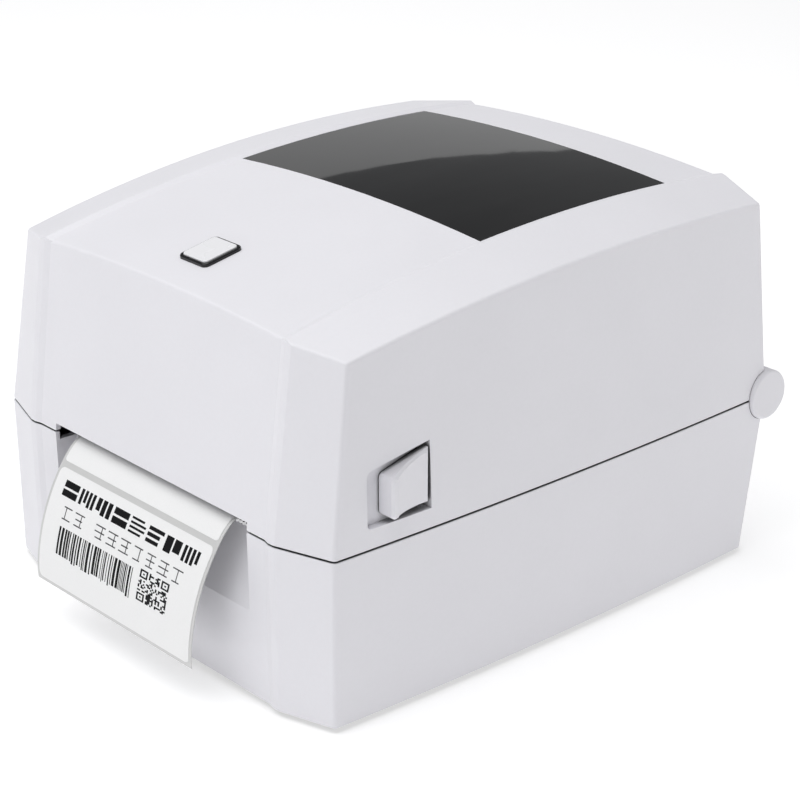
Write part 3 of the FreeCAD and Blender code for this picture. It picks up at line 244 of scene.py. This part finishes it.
def shade(tree, value, dark, light, low=0.3, high=0.7):
    """Runs from one colour to another as value goes from low to high."""
    ramp = tree.nodes.new("ShaderNodeValToRGB")
    ramp.color_ramp.elements[0].position, ramp.color_ramp.elements[1].position = low, high
    ramp.color_ramp.elements[0].color = (*dark, 1)
    ramp.color_ramp.elements[1].color = (*light, 1)
    tree.links.new(value, ramp.inputs[0])
    return ramp.outputs["Color"]


def blend_colour(tree, amount, a, b):
    node = tree.nodes.new("ShaderNodeMix")
    node.data_type = "RGBA"
    for socket, value in ((node.inputs[0], amount), (node.inputs[6], a), (node.inputs[7], b)):
        if isinstance(value, tuple):
            socket.default_value = (*value, 1)
        elif isinstance(value, (int, float)):
            socket.default_value = value
        else:
            tree.links.new(value, socket)
    return node.outputs[2]


def relief(tree, shader, *layers):
    """Stacks bump layers, each (height, depth in metres), onto the shader's normal."""
    normal = None
    for height, depth in layers:
        node = tree.nodes.new("ShaderNodeBump")
        node.inputs["Distance"].default_value = depth
        tree.links.new(height, node.inputs["Height"])
        if normal is not None:
            tree.links.new(normal, node.inputs["Normal"])
        normal = node.outputs[0]
    tree.links.new(normal, shader.inputs["Normal"])


def scaled(colour, factor):
    return tuple(min(1.0, c * factor) for c in colour)


# How open a gap is where its painted shade is full and where it ends, and the painted shade's colour.
SEAM_SHUT, SEAM_OPEN, PAINTED_SHADE_TONE = 0.27, 0.49, (0.006, 0.0055, 0.005)


def painted_seam_shade(tree, base, reach):
    """Paints shade into a colour: darkens it in tight seams and deep gaps, where ambient occlusion finds them.
    """
    hollow = tree.nodes.new("ShaderNodeAmbientOcclusion")
    hollow.samples = 12
    hollow.inputs["Distance"].default_value = reach
    amount = remap(tree, hollow.outputs["AO"], SEAM_SHUT, SEAM_OPEN, 1.0, 0.0)
    return blend_colour(tree, amount, base, PAINTED_SHADE_TONE)


def moulded(name, colour, rough, grain=0.55 * MM, depth=0.02 * MM, cloud=0.05, spread=0.03, painted_shade_reach=None):
    """Injection-moulded plastic: a fine spark-eroded grain, faint flow clouds, and a slightly uneven sheen."""
    material, tree, shader, place = start(name)
    cloudy = noise(tree, place, cloud, 2.0)
    speck = noise(tree, place, grain * 3, 4.0)
    base = shade(tree, cloudy, scaled(colour, 1 - spread), scaled(colour, 1 + spread / 2))
    base = blend_colour(tree, remap(tree, speck, 0.35, 0.75, 0.0, 0.06), base, scaled(colour, 0.8))
    # Painted shade: the colour darkens in seams and gaps within the given reach.
    if painted_shade_reach:
        base = painted_seam_shade(tree, base, painted_shade_reach)
    tree.links.new(base, shader.inputs["Base Color"])
    tree.links.new(remap(tree, noise(tree, place, cloud * 0.6, 3.0), 0.3, 0.7, rough - 0.05, rough + 0.06),
                   shader.inputs["Roughness"])
    fine, broad = noise(tree, place, grain, 2.0), noise(tree, place, cloud * 0.4, 1.0)
    relief(tree, shader, (fine, depth), (broad, depth * 2))
    return material


def metal(name, colour, rough, streak=None, depth=0.006 * MM, spread=0.08):
    """Bare or plated metal: rolled or turned streaks, slightly blotchy colour, and uneven gloss."""
    material, tree, shader, place = start(name)
    shader.inputs["Metallic"].default_value = 1.0
    blotch = noise(tree, place, 9 * MM, 3.0)
    tree.links.new(shade(tree, blotch, scaled(colour, 1 - spread), scaled(colour, 1 + spread)),
                   shader.inputs["Base Color"])
    lines = noise(tree, place, 0.5 * MM, 3.0, stretch=streak or (1, 1, 1))
    tree.links.new(remap(tree, lines, 0.3, 0.7, rough - 0.06, rough + 0.08), shader.inputs["Roughness"])
    relief(tree, shader, (lines, depth))
    return material


def paper(name, colour, rough, fibre=0.35 * MM, depth=0.01 * MM, sheen=0.0):
    """Paper: short fibres in the colour and the relief, and a soft broad waviness."""
    material, tree, shader, place = start(name)
    fibres = noise(tree, place, fibre, 5.0, stretch=(1.0, 0.45, 0.45), distortion=0.6)
    broad = noise(tree, place, 14 * MM, 2.0)
    base = shade(tree, fibres, scaled(colour, 0.975), scaled(colour, 1.01))
    base = blend_colour(tree, remap(tree, broad, 0.3, 0.7, 0.0, 0.12), base, scaled(colour, 0.94))
    tree.links.new(base, shader.inputs["Base Color"])
    tree.links.new(remap(tree, fibres, 0.3, 0.7, rough - 0.05, rough + 0.06), shader.inputs["Roughness"])
    shader.inputs["Coat Weight"].default_value = sheen
    shader.inputs["Coat Roughness"].default_value = 0.3
    relief(tree, shader, (fibres, depth), (broad, depth * 6))
    return material


def wound(name, colour, rough, centre, layer, metallic=0.0):
    """A wound roll: its layers show as fine rings round the roll's centre, (y, z) in metres."""
    material, tree, shader, place = start(name)
    split = tree.nodes.new("ShaderNodeSeparateXYZ")
    tree.links.new(place, split.inputs[0])
    y = math_node(tree, "SUBTRACT", split.outputs[1], centre[0])
    z = math_node(tree, "SUBTRACT", split.outputs[2], centre[1])
    radius = math_node(tree, "SQRT", math_node(tree, "ADD", math_node(tree, "MULTIPLY", y, y),
                                               math_node(tree, "MULTIPLY", z, z)))
    waver = remap(tree, noise(tree, place, 6 * MM, 2.0), 0.3, 0.7, -0.8, 0.8)
    turns = math_node(tree, "ADD", math_node(tree, "MULTIPLY", radius, 2 * math.pi / layer), waver)
    ring = remap(tree, math_node(tree, "SINE", turns), -1, 1, 0, 1)
    uneven = noise(tree, place, 3 * MM, 4.0)
    most, rest = math_node(tree, "MULTIPLY", ring, 0.6), math_node(tree, "MULTIPLY", uneven, 0.4)
    mixed = math_node(tree, "ADD", most, rest)
    base = shade(tree, mixed, scaled(colour, 0.82), scaled(colour, 1.03), 0.2, 0.7)
    tree.links.new(base, shader.inputs["Base Color"])
    tree.links.new(remap(tree, uneven, 0.3, 0.7, rough - 0.06, rough + 0.06), shader.inputs["Roughness"])
    shader.inputs["Metallic"].default_value = metallic
    relief(tree, shader, (mixed, 0.03 * MM))
    return material


# ---------------------------------------------------------------- the finishes, by material slot

def window_smoke():
    """Smoked acrylic: near-black and glossy, with faint wipe marks."""
    material, tree, shader, place = start("window_smoke")
    wipe = noise(tree, place, 18 * MM, 4.0, stretch=(1.0, 0.35, 1.0))
    base = shade(tree, wipe, (0.003, 0.003, 0.0035), (0.006, 0.006, 0.0065))
    tree.links.new(base, shader.inputs["Base Color"])
    tree.links.new(remap(tree, wipe, 0.3, 0.75, 0.025, 0.06), shader.inputs["Roughness"])
    shader.inputs["IOR"].default_value = 1.38
    relief(tree, shader, (noise(tree, place, 40 * MM, 1.0), 0.01 * MM))
    return material


def rubber(name, colour, rough):
    """Dull rubber or cable sheath, with a little dust on it."""
    material, tree, shader, place = start(name)
    fine = noise(tree, place, 0.3 * MM, 4.0)
    dust = noise(tree, place, 5 * MM, 4.0)
    base = shade(tree, dust, colour, scaled(colour, 1.5), 0.45, 0.8)
    tree.links.new(base, shader.inputs["Base Color"])
    tree.links.new(remap(tree, dust, 0.3, 0.7, rough - 0.08, rough + 0.05), shader.inputs["Roughness"])
    relief(tree, shader, (fine, 0.02 * MM))
    return material


def circuit_board():
    """Green solder mask over tracks, with tinned pads."""
    material, tree, shader, place = start("circuit_board")
    cells = tree.nodes.new("ShaderNodeTexBrick")
    cells.inputs["Scale"].default_value = 90.0
    cells.inputs["Mortar Size"].default_value = 0.07
    cells.inputs["Mortar Smooth"].default_value = 0.2
    cells.offset, cells.squash = 0.37, 1.6
    tree.links.new(place, cells.inputs["Vector"])
    track = cells.outputs["Fac"]
    pads = tree.nodes.new("ShaderNodeTexVoronoi")
    pads.inputs["Scale"].default_value = 160.0
    tree.links.new(place, pads.inputs["Vector"])
    pad = remap(tree, pads.outputs["Distance"], 0.16, 0.2, 1.0, 0.0)
    base = blend_colour(tree, track, (0.012, 0.10, 0.035), (0.02, 0.19, 0.07))
    base = blend_colour(tree, pad, base, (0.62, 0.60, 0.55))
    tree.links.new(base, shader.inputs["Base Color"])
    tree.links.new(pad, shader.inputs["Metallic"])
    gloss = remap(tree, noise(tree, place, 4 * MM), 0.3, 0.7, 0.28, 0.42)
    tree.links.new(gloss, shader.inputs["Roughness"])
    relief(tree, shader, (track, 0.05 * MM), (pad, 0.08 * MM))
    return material


FILM = (0.02, 0.02, 0.024)


def ribbon_film():
    """Wax-coated film: dark, satin, faintly crinkled across its width."""
    material, tree, shader, place = start("ribbon_film")
    crease = noise(tree, place, 5 * MM, 3.0, stretch=(0.25, 1.0, 1.0))
    base = shade(tree, crease, (0.008, 0.008, 0.010), FILM)
    tree.links.new(base, shader.inputs["Base Color"])
    tree.links.new(remap(tree, crease, 0.3, 0.7, 0.2, 0.34), shader.inputs["Roughness"])
    relief(tree, shader, (crease, 0.15 * MM))
    return material


def centre_of(node):
    low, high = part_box(node)
    return (low.y + high.y) / 2, (low.z + high.z) / 2


FINISHES = {
    # The shell's colour carries painted shade in its seams and gaps.
    "shell_white": moulded("shell_white", (0.80, 0.793, 0.83), 0.42, spread=0.012, painted_shade_reach=5.0 * MM),
    "button_white": moulded("button_white", (0.83, 0.83, 0.85), 0.30, grain=0.4 * MM, depth=0.008 * MM,
                            spread=0.01),
    "window_smoke": window_smoke(),
    "black_plastic": moulded("black_plastic", (0.004, 0.004, 0.005), 0.11, grain=0.4 * MM, depth=0.003 * MM,
                             spread=0.2),
    "base_grey": moulded("base_grey", (0.20, 0.20, 0.21), 0.5, spread=0.06),
    "inner_grey": moulded("inner_grey", (0.17, 0.175, 0.185), 0.5, spread=0.06),
    "paper_liner": paper("paper_liner", (0.62, 0.62, 0.615), 0.38, sheen=0.25),
    "paper_label": paper("paper_label", (0.88, 0.88, 0.88), 0.55),
    "wound_label": wound("wound_label", (0.84, 0.83, 0.80), 0.6, centre_of("label_roll"), 0.9 * MM),
    "wound_ribbon": wound("wound_ribbon", FILM, 0.3, centre_of("ribbon_supply_roll"), 0.6 * MM),
    "wound_takeup": wound("wound_takeup", FILM, 0.3, centre_of("ribbon_takeup_roll"), 0.6 * MM),
    "cardboard": wound("cardboard", (0.42, 0.29, 0.17), 0.8, centre_of("roll_core"), 0.8 * MM),
    "rubber": rubber("rubber", (0.02, 0.02, 0.021), 0.75),
    "platen_rubber": rubber("platen_rubber", (0.035, 0.035, 0.037), 0.6),
    "steel": metal("steel", (0.56, 0.56, 0.57), 0.25, streak=(1.0, 0.1, 0.1)),
    "plated_steel": metal("plated_steel", (0.60, 0.60, 0.62), 0.36, streak=(1.0, 0.08, 0.3), spread=0.12),
    "screw_steel": metal("screw_steel", (0.42, 0.42, 0.44), 0.3),
    "spring_steel": metal("spring_steel", (0.50, 0.49, 0.47), 0.28),
    "aluminium": metal("aluminium", (0.72, 0.73, 0.74), 0.34, streak=(0.06, 1.0, 1.0)),
    "bush_brass": metal("bush_brass", (0.58, 0.40, 0.16), 0.32),
    "gear_plastic": moulded("gear_plastic", (0.62, 0.61, 0.56), 0.45, grain=0.5 * MM, depth=0.01 * MM),
    "circuit_board": circuit_board(),
    "components": moulded("components", (0.03, 0.03, 0.033), 0.42, grain=0.3 * MM, spread=0.3),
    "ribbon_film": ribbon_film(),
    "ceramic": moulded("ceramic", (0.70, 0.69, 0.64), 0.22, grain=0.25 * MM, depth=0.004 * MM),
    "loom_black": rubber("loom_black", (0.015, 0.015, 0.016), 0.45),
}

# The wound rolls, which show their turns although their slots hold flat pieces too.
SPECIAL = {
    "label_roll": "wound_label",
    "ribbon_supply_roll": "wound_ribbon",
    "ribbon_takeup_roll": "wound_takeup",
}


def finish_nodes():
    """Gives every CAD node the finish of its material slot, or its own one."""
    for name, node in nodes.items():
        for place in node.material_slots:
            slot_name = place.material.name.split(".")[0]
            place.material = FINISHES[SPECIAL.get(name, slot_name)]


finish_nodes()


# ---------------------------------------------------------------- mesh helpers

def piece(name, vertices, faces, material, body, slot=None):
    """A new piece of the object, which moves with a body. The slot argument is not used."""
    mesh = bpy.data.meshes.new(name)
    mesh.from_pydata([tuple(v) for v in vertices], [], faces)
    mesh.materials.append(FINISHES[material])
    mesh.validate()
    made = bpy.data.objects.new(name, mesh)
    bpy.context.scene.collection.objects.link(made)
    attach(made, body)
    return made


# ---------------------------------------------------------------- the hanging label strip

# Along the strip from the top of its hanging part: where the upper label ends and the printed one begins.
FIRST_END, LABEL_TOP = 6.57 * MM, 9.15 * MM

# A label's thickness.
SHEET = 0.15 * MM


def cubic(t, begin, leave, end, arrive):
    """A curve from begin to end as t goes from 0 to 1, with its directions at both ends."""
    a = (1 + 2 * t) * (1 - t) ** 2
    b = t * (1 - t) ** 2
    c = t * t * (3 - 2 * t)
    d = t * t * (t - 1)
    return a * begin + b * leave + c * end + d * arrive


class Strip:
    """The middle of the labels that hang from the slot, as a smooth curve in (y, z) by distance along it."""

    def __init__(self):
        co = np.array([v.co for v in nodes["printed_labels"].data.vertices])
        edge = co[co[:, 0] > co[:, 0].max() - 0.05 * MM][:, 1:]
        order = np.argsort(-edge[:, 1])
        middle = self.pair_middles(edge[order])
        self.half = float(co[:, 0].max())
        lead = self.lead_in(middle)
        self.points = np.vstack([lead, middle])
        step = np.hypot(*np.diff(self.points, axis=0).T)
        self.at = np.r_[0.0, np.cumsum(step)]
        self.at -= self.at[len(lead)]
        self.top, self.length = float(self.at[0]), float(self.at[-1])

    @staticmethod
    def lead_in(middle):
        """The bend under the cover's edge, from the web's level run over the platen to the strip's top."""
        co = np.array([v.co for v in nodes["label_liner"].data.vertices])
        front = co[co[:, 1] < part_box("platen_roller")[0].y - 4 * MM]
        level = front[:, 2].max()
        begin = np.array([front[front[:, 2] > level - 0.02 * MM][:, 1].min(), level + SHEET / 2])
        reach = np.hypot(*(middle[0] - begin))
        leave = np.array([-reach, 0.0])
        arrive = middle[1] - middle[0]
        arrive = arrive / np.hypot(*arrive) * reach
        t = np.linspace(0.0, 1.0, 10)[:-1, None]
        return cubic(t, begin, leave, middle[0], arrive)

    @staticmethod
    def pair_middles(edge):
        """Joins the two faces' points at each station into one middle point."""
        middles, used = [], np.zeros(len(edge), bool)
        for i in range(len(edge)):
            if used[i]:
                continue
            gap = np.hypot(*(edge - edge[i]).T)
            near = (gap < 0.4 * MM) & ~used
            used |= near
            middles.append(edge[near].mean(axis=0))
        return np.array(middles)

    def point(self, s, off=0.0):
        """Where the strip is at distance s, moved off its middle outwards."""
        y = self.smooth(s, 0)
        z = self.smooth(s, 1)
        h = 0.5 * MM
        dy = self.smooth(s + h, 0) - self.smooth(s - h, 0)
        dz = self.smooth(s + h, 1) - self.smooth(s - h, 1)
        size = math.hypot(dy, dz)
        return y + off * dz / size, z - off * dy / size

    def smooth(self, s, axis):
        """A Catmull-Rom curve through the stations, straight beyond its ends."""
        at, p = self.at, self.points[:, axis]
        i = int(np.clip(np.searchsorted(at, s) - 1, 0, len(at) - 2))
        slopes = np.gradient(p, at)
        h = at[i + 1] - at[i]
        t = (s - at[i]) / h
        if t < 0:
            return p[i] + slopes[i] * (s - at[i])
        if t > 1:
            return p[i + 1] + slopes[i + 1] * (s - at[i + 1])
        return cubic(t, p[i], h * slopes[i], p[i + 1], h * slopes[i + 1])


strip = Strip()


def row(x0, x1, *profile):
    """One row of a sheet: each (y, z) point of its profile at both ends."""
    return [(x, y, z) for y, z in profile for x in (x0, x1)]


def sheet(rows):
    """Vertices and faces of a thin closed sheet through rows of four points, two on each of its faces."""
    vertices = [point for points in rows for point in points]
    last = len(vertices) - 4
    faces = []
    for a in range(0, last, 4):
        b = a + 4
        faces += [(a, b, b + 1, a + 1), (a + 2, a + 3, b + 3, b + 2)]
        faces += [(a, a + 2, b + 2, b), (a + 1, b + 1, b + 3, a + 3)]
    faces += [(0, 1, 3, 2), (last, last + 2, last + 3, last + 1)]
    return vertices, faces


def strip_patch(x0, x1, s0, s1, off0, off1, corner=0.0, step=1.0 * MM):
    """A sheet on the strip between two distances along it, with rounded corners if asked."""
    count = max(1, int(math.ceil((s1 - s0) / step)))
    stations = [s0 + (s1 - s0) * i / count for i in range(count + 1)]
    if corner:
        turn = [corner * (1 - math.cos(math.pi / 2 * k / 6)) for k in range(1, 6)]
        stations = sorted(stations + [s0 + t for t in turn] + [s1 - t for t in turn])
    rows = []
    for s in stations:
        depth = min(s - s0, s1 - s)
        pull = 0.0
        if corner and depth < corner:
            pull = corner - math.sqrt(max(0.0, corner ** 2 - (corner - depth) ** 2))
        rows.append(row(x0 + pull, x1 - pull, strip.point(s, off0), strip.point(s, off1)))
    return sheet(rows)


def joined(patches):
    """Several patches' vertices and faces as one."""
    vertices, faces = [], []
    for some_vertices, some_faces in patches:
        base = len(vertices)
        vertices += some_vertices
        faces += [tuple(base + i for i in face) for face in some_faces]
    return vertices, faces


def make_labels():
    """The upper label, which runs out of the slot, and the whole printed one below it."""
    half, face = strip.half, SHEET / 2
    upper = strip_patch(-half, half, strip.top, FIRST_END, -face, face, corner=1.5 * MM)
    lower = strip_patch(-half, half, LABEL_TOP, strip.length, -face, face, corner=2.5 * MM)
    made = piece("label_sheet_upper", *upper, "paper_label", "base", "paper_label")
    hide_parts("printed_labels")
    piece("label_sheet_lower", *lower, "paper_label", "base", "paper_label")


# The ink's two faces, off the label's middle.
INK_LOW, INK_HIGH = SHEET / 2 + 0.005 * MM, SHEET / 2 + 0.03 * MM

# The print's layout in millimetres: across from the strip's middle, and along from its hanging part's top.
HEADING_BLOCKS, HEADING_LEFT, HEADING_PITCH, HEADING_TOP = 8, -45.0, 11.6, 13.4
HEADING_WIDE, HEADING_TALL, HEADING_GAP = 9.9, 6.6, 0.95
LINE_STARTS = [-41.0, -32.6] + [-18.0 + 8.65 * n for n in range(7)]
LINE_TOP, LINE_WIDE, LINE_TALL, LINE_SPREAD, LINE_STROKE = 23.6, 6.6, 5.4, 5.0, 0.5
BARS_LEFT, BARS_RIGHT, BARS_TOP, BARS_END, BARS_SPARE = -40.2, 12.6, 32.2, 44.2, 1.2
SQUARE_CELLS, SQUARE_LEFT, SQUARE_TOP, SQUARE_WIDE, SQUARE_TALL = 19, 15.8, 30.8, 19.0, 12.9
TARGET_CELLS = 5


def mark(x0, x1, s0, s1):
    """A printed bar, in the layout's millimetres."""
    return strip_patch(x0 * MM, x1 * MM, s0 * MM, s1 * MM, INK_LOW, INK_HIGH)


def heading_marks(draw):
    """A bold heading as a row of blocks, each split into a few plain bars."""
    marks = []
    for n in range(HEADING_BLOCKS):
        x = HEADING_LEFT + n * HEADING_PITCH
        bars = 2 + (n * 5) % 3
        gaps = HEADING_GAP * (bars - 1)
        if draw.random() < 0.5:
            height = (HEADING_TALL - gaps) / bars
            for k in range(bars):
                s = HEADING_TOP + k * (height + HEADING_GAP)
                marks.append(mark(x, x + HEADING_WIDE * draw.choice((1.0, 1.0, 0.82)), s, s + height))
        else:
            width = (HEADING_WIDE - gaps) / bars
            for k in range(bars):
                u = x + k * (width + HEADING_GAP)
                end = HEADING_TOP + HEADING_TALL * draw.choice((1.0, 1.0, 0.8))
                marks.append(mark(u, u + width, HEADING_TOP, end))
    return marks


def line_marks(draw):
    """A lighter second line as groups of thin bars."""
    marks = []
    for x in LINE_STARTS:
        bars = draw.choice((2, 3, 3))
        for k in range(bars):
            s = LINE_TOP + k * LINE_SPREAD / (bars - 1)
            wide = LINE_WIDE * draw.choice((1.0, 0.85, 0.7))
            marks.append(mark(x + (LINE_WIDE - wide) / 2, x + (LINE_WIDE + wide) / 2, s, s + LINE_STROKE))
        u = x + LINE_WIDE * draw.choice((0.3, 0.5, 0.66))
        marks.append(mark(u, u + LINE_STROKE, LINE_TOP, LINE_TOP + LINE_TALL))
    return marks


def bar_marks(draw):
    """A barcode's upright bars."""
    marks = []
    x = BARS_LEFT
    while x < BARS_RIGHT - BARS_SPARE:
        width = draw.choice((0.45, 0.45, 0.8, 0.8, 1.2, 1.6))
        marks.append(mark(x, x + width, BARS_TOP, BARS_END + draw.choice((0.0, 0.0, 0.9))))
        x += width + draw.choice((0.45, 0.45, 0.8, 1.1))
    return marks


def square_marks(draw):
    """A square two-way code: three corner targets and a scatter of cells, each run of cells as one mark."""
    marks = []
    cells = SQUARE_CELLS
    wide, high = SQUARE_WIDE / cells, SQUARE_TALL / cells
    for line in range(cells):
        s = SQUARE_TOP + line * high
        run = None
        for column in range(cells + 1):
            dark = column < cells and is_dark(line, column, draw)
            if dark and run is None:
                run = column
            if not dark and run is not None:
                marks.append(mark(SQUARE_LEFT + run * wide, SQUARE_LEFT + column * wide, s, s + high))
                run = None
    return marks


def is_dark(line, column, draw):
    """Whether a cell is printed: a target is a ring round a dot in a clear border, and the rest is random."""
    size = TARGET_CELLS
    far = SQUARE_CELLS - size
    for first_line, first_column in ((0, 0), (0, far), (far, 0)):
        r, c = line - first_line, column - first_column
        if 0 <= r < size and 0 <= c < size:
            return r in (0, size - 1) or c in (0, size - 1) or (r == c == size // 2)
        if -1 <= r <= size and -1 <= c <= size:
            return False
    return draw.random() < 0.5


def ink(name, colour):
    """Dull thermal print."""
    material = moulded(name, colour, 0.6, grain=0.2 * MM, depth=0.004 * MM, spread=0.3)
    material.node_tree.nodes["Principled BSDF"].inputs["Specular IOR Level"].default_value = 0.15
    return material


FINISHES["print_ink"] = ink("print_ink", (0.004, 0.004, 0.005))
FINISHES["print_ink_light"] = ink("print_ink_light", (0.05, 0.05, 0.055))


def make_print():
    """The print on the lower label. It says nothing: its bars and cells are drawn at random."""
    draw = random.Random(7)
    piece("print_heading", *joined(heading_marks(draw)), "print_ink", "base")
    piece("print_line", *joined(line_marks(draw)), "print_ink_light", "base")
    piece("print_bars", *joined(bar_marks(draw)), "print_ink", "base")
    piece("print_square", *joined(square_marks(draw)), "print_ink", "base")


make_labels()
make_print()


# ---------------------------------------------------------------- small details the CAD leaves out

def chamfered(low, high, edge):
    """A block between two corners with all its edges cut back, as vertices and faces."""
    ring = ((0, 0), (1, 0), (1, 1), (0, 1))
    signs = list(itertools.product((0, 1), repeat=3))
    vertices, index = [], {}
    for sign in signs:
        for face in range(3):
            inset = [0 if k == face else edge for k in range(3)]
            point = [high[k] - inset[k] if sign[k] else low[k] + inset[k] for k in range(3)]
            index[(sign, face)] = len(vertices)
            vertices.append(tuple(point))

    def corner(face, side, pair):
        sign = list(pair)
        sign.insert(face, side)
        return tuple(sign)

    faces = []
    for face in range(3):
        a, b = [k for k in range(3) if k != face]
        for side in (0, 1):
            faces.append(tuple(index[(corner(face, side, pair), face)] for pair in ring))
        for pair in ring:
            near, far = corner(face, 0, pair), corner(face, 1, pair)
            faces.append((index[(near, a)], index[(far, a)], index[(far, b)], index[(near, b)]))
    faces += [tuple(index[(sign, face)] for face in range(3)) for sign in signs]
    return vertices, faces


def blocks(name, places, edge, material, body, slot):
    """One piece of many small blocks, each given as (x0, x1, y0, y1, z0, z1) in metres."""
    parts = [chamfered((x0, y0, z0), (x1, y1, z1), edge) for x0, x1, y0, y1, z0, z1 in places]
    made = piece(name, *joined(parts), material, body, slot)
    settle_normals(made)
    return made


def settle_normals(made):
    """Turns all of a piece's faces outwards."""
    work = bmesh.new()
    work.from_mesh(made.data)
    bmesh.ops.recalc_face_normals(work, faces=work.faces)
    work.to_mesh(made.data)
    work.free()


# Clear of the liner, so that the faces never meet, and the liner that shows between two labels.
LIFT, LABEL_GAP = 0.02 * MM, 3.0 * MM
ROLL_LABELS, ROLL_STEPS, ROLL_TURNED = 4, 24, 0.4


def roll_labels():
    """The die-cut labels lying on the roll's outer turn, with the liner showing between them."""
    low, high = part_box("label_roll")
    y, z = centre_of("label_roll")
    radius = (high.z - low.z) / 2
    pitch, gap = 2 * math.pi / ROLL_LABELS, LABEL_GAP / radius
    patches = []
    for n in range(ROLL_LABELS):
        begin = pitch * n + gap / 2 + ROLL_TURNED
        rows = []
        for k in range(ROLL_STEPS + 1):
            turn = begin + (pitch - gap) * k / ROLL_STEPS
            cosine, sine = math.cos(turn), math.sin(turn)
            profile = [(y + r * cosine, z + r * sine) for r in (radius + LIFT, radius + SHEET)]
            rows.append(row(-strip.half, strip.half, *profile))
        patches.append(sheet(rows))
    settle_normals(piece("roll_labels", *joined(patches), "paper_label", "label_roll", "paper_label"))


def web_labels():
    """The labels on the web's climb from the platen to the roll, and the gap between two of them."""
    co = np.array([v.co for v in nodes["label_liner"].data.vertices])
    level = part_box("platen_roller")[1].z
    climb = co[(co[:, 2] > level + 2 * MM)][:, 1:]
    top = climb[np.argmax(climb[:, 1])]
    flat = co[(abs(co[:, 2] - level) < 1.2 * MM)][:, 1:]
    foot = flat[np.argmax(flat[:, 0] + flat[:, 1])]
    length = float(np.hypot(*(top - foot)))
    along = (top - foot) / length
    out = np.array([-along[1], along[0]])
    split = length * 0.42
    patches = []
    for begin, end in ((LABEL_GAP, split), (split + LABEL_GAP, length - 1.0 * MM)):
        rows = []
        for s in (begin, end):
            profile = [foot + along * s + out * off for off in (LIFT, LIFT + SHEET)]
            rows.append(row(-strip.half, strip.half, *profile))
        patches.append(sheet(rows))
    settle_normals(piece("web_labels", *joined(patches), "paper_label", "base", "paper_label"))


def port_contacts():
    """The data port's four contacts, on the tongue's two faces."""
    low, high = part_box("data_port")
    middle_x, middle_z = (low.x + high.x) / 2, (low.z + high.z) / 2
    back, front = high.y - 6.5 * MM, high.y - 1.6 * MM
    apart, half_wide, half_thick, off_tongue = 1.3 * MM, 0.5 * MM, 0.1 * MM, 1.66 * MM
    places = []
    for z in (middle_z - off_tongue, middle_z + off_tongue):
        for x in (middle_x - apart, middle_x + apart):
            places.append((x - half_wide, x + half_wide, back, front, z - half_thick, z + half_thick))
    blocks("port_contacts", places, 0.04 * MM, "bush_brass", "base", "bush_brass")


# On the main board, in millimetres off its low corner: the rows of the processor's legs.
LEG_COUNT, LEG_PITCH, LEG_HALF, LEG_TALL = 14, 1.3, 0.25, 0.35
LEG_FIRST_X, LEG_ROWS_Y = 37.2, ((28.3, 30.2), (49.8, 51.7))
LEG_FIRST_Y, LEG_ROWS_X = 31.5, ((34.8, 36.0), (56.0, 57.2))

# The rows of small parts, each by its first part's (x, y), and a part's half length and half width.
SMALL_ROWS, SMALL_COUNT, SMALL_PITCH = ((60.0, 15.0), (60.0, 24.0), (62.0, 57.0)), 12, 3.6
SMALL_HALF, SMALL_HALF_WIDE = 0.7, 0.6
END_AT, END_HALF, END_PROUD = 0.95, 0.27, 0.03
BOARD_EDGE = 0.08 * MM


def on_board(x0, x1, y0, y1, tall):
    """A block that stands on the main board, from millimetres off the board's low corner."""
    low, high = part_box("main_board")
    return low.x + x0 * MM, low.x + x1 * MM, low.y + y0 * MM, low.y + y1 * MM, high.z, high.z + tall * MM


def chip_legs():
    """The processor's legs, a row along each of its four sides."""
    legs = []
    for n in range(LEG_COUNT):
        x = LEG_FIRST_X + LEG_PITCH * n
        for y0, y1 in LEG_ROWS_Y:
            legs.append(on_board(x - LEG_HALF, x + LEG_HALF, y0, y1, LEG_TALL))
    for x0, x1 in LEG_ROWS_X:
        for n in range(LEG_COUNT):
            y = LEG_FIRST_Y + LEG_PITCH * n
            legs.append(on_board(x0, x1, y - LEG_HALF, y + LEG_HALF, LEG_TALL))
    blocks("chip_legs", legs, BOARD_EDGE, "plated_steel", "base", "plated_steel")


def small_parts():
    """Rows of small resistors and capacitors, and their tinned ends."""
    chips, ends = [], []
    draw = random.Random(11)
    for first_x, row_y in SMALL_ROWS:
        for n in range(SMALL_COUNT):
            x, y = first_x + SMALL_PITCH * n, row_y + draw.choice((0.0, 0.0, 1.6))
            tall = draw.choice((0.5, 0.7, 0.9))
            y0, y1 = y - SMALL_HALF_WIDE, y + SMALL_HALF_WIDE
            chips.append(on_board(x - SMALL_HALF, x + SMALL_HALF, y0, y1, tall))
            y0, y1, tall = y0 - END_PROUD, y1 + END_PROUD, tall + END_PROUD
            for end in (x - END_AT, x + END_AT):
                ends.append(on_board(end - END_HALF, end + END_HALF, y0, y1, tall))
    blocks("small_parts", chips, BOARD_EDGE, "components", "base", "components")
    blocks("small_part_ends", ends, BOARD_EDGE, "plated_steel", "base", "plated_steel")


roll_labels()
web_labels()
port_contacts()
chip_legs()
small_parts()


# ---------------------------------------------------------------- close

bpy.context.view_layer.update()
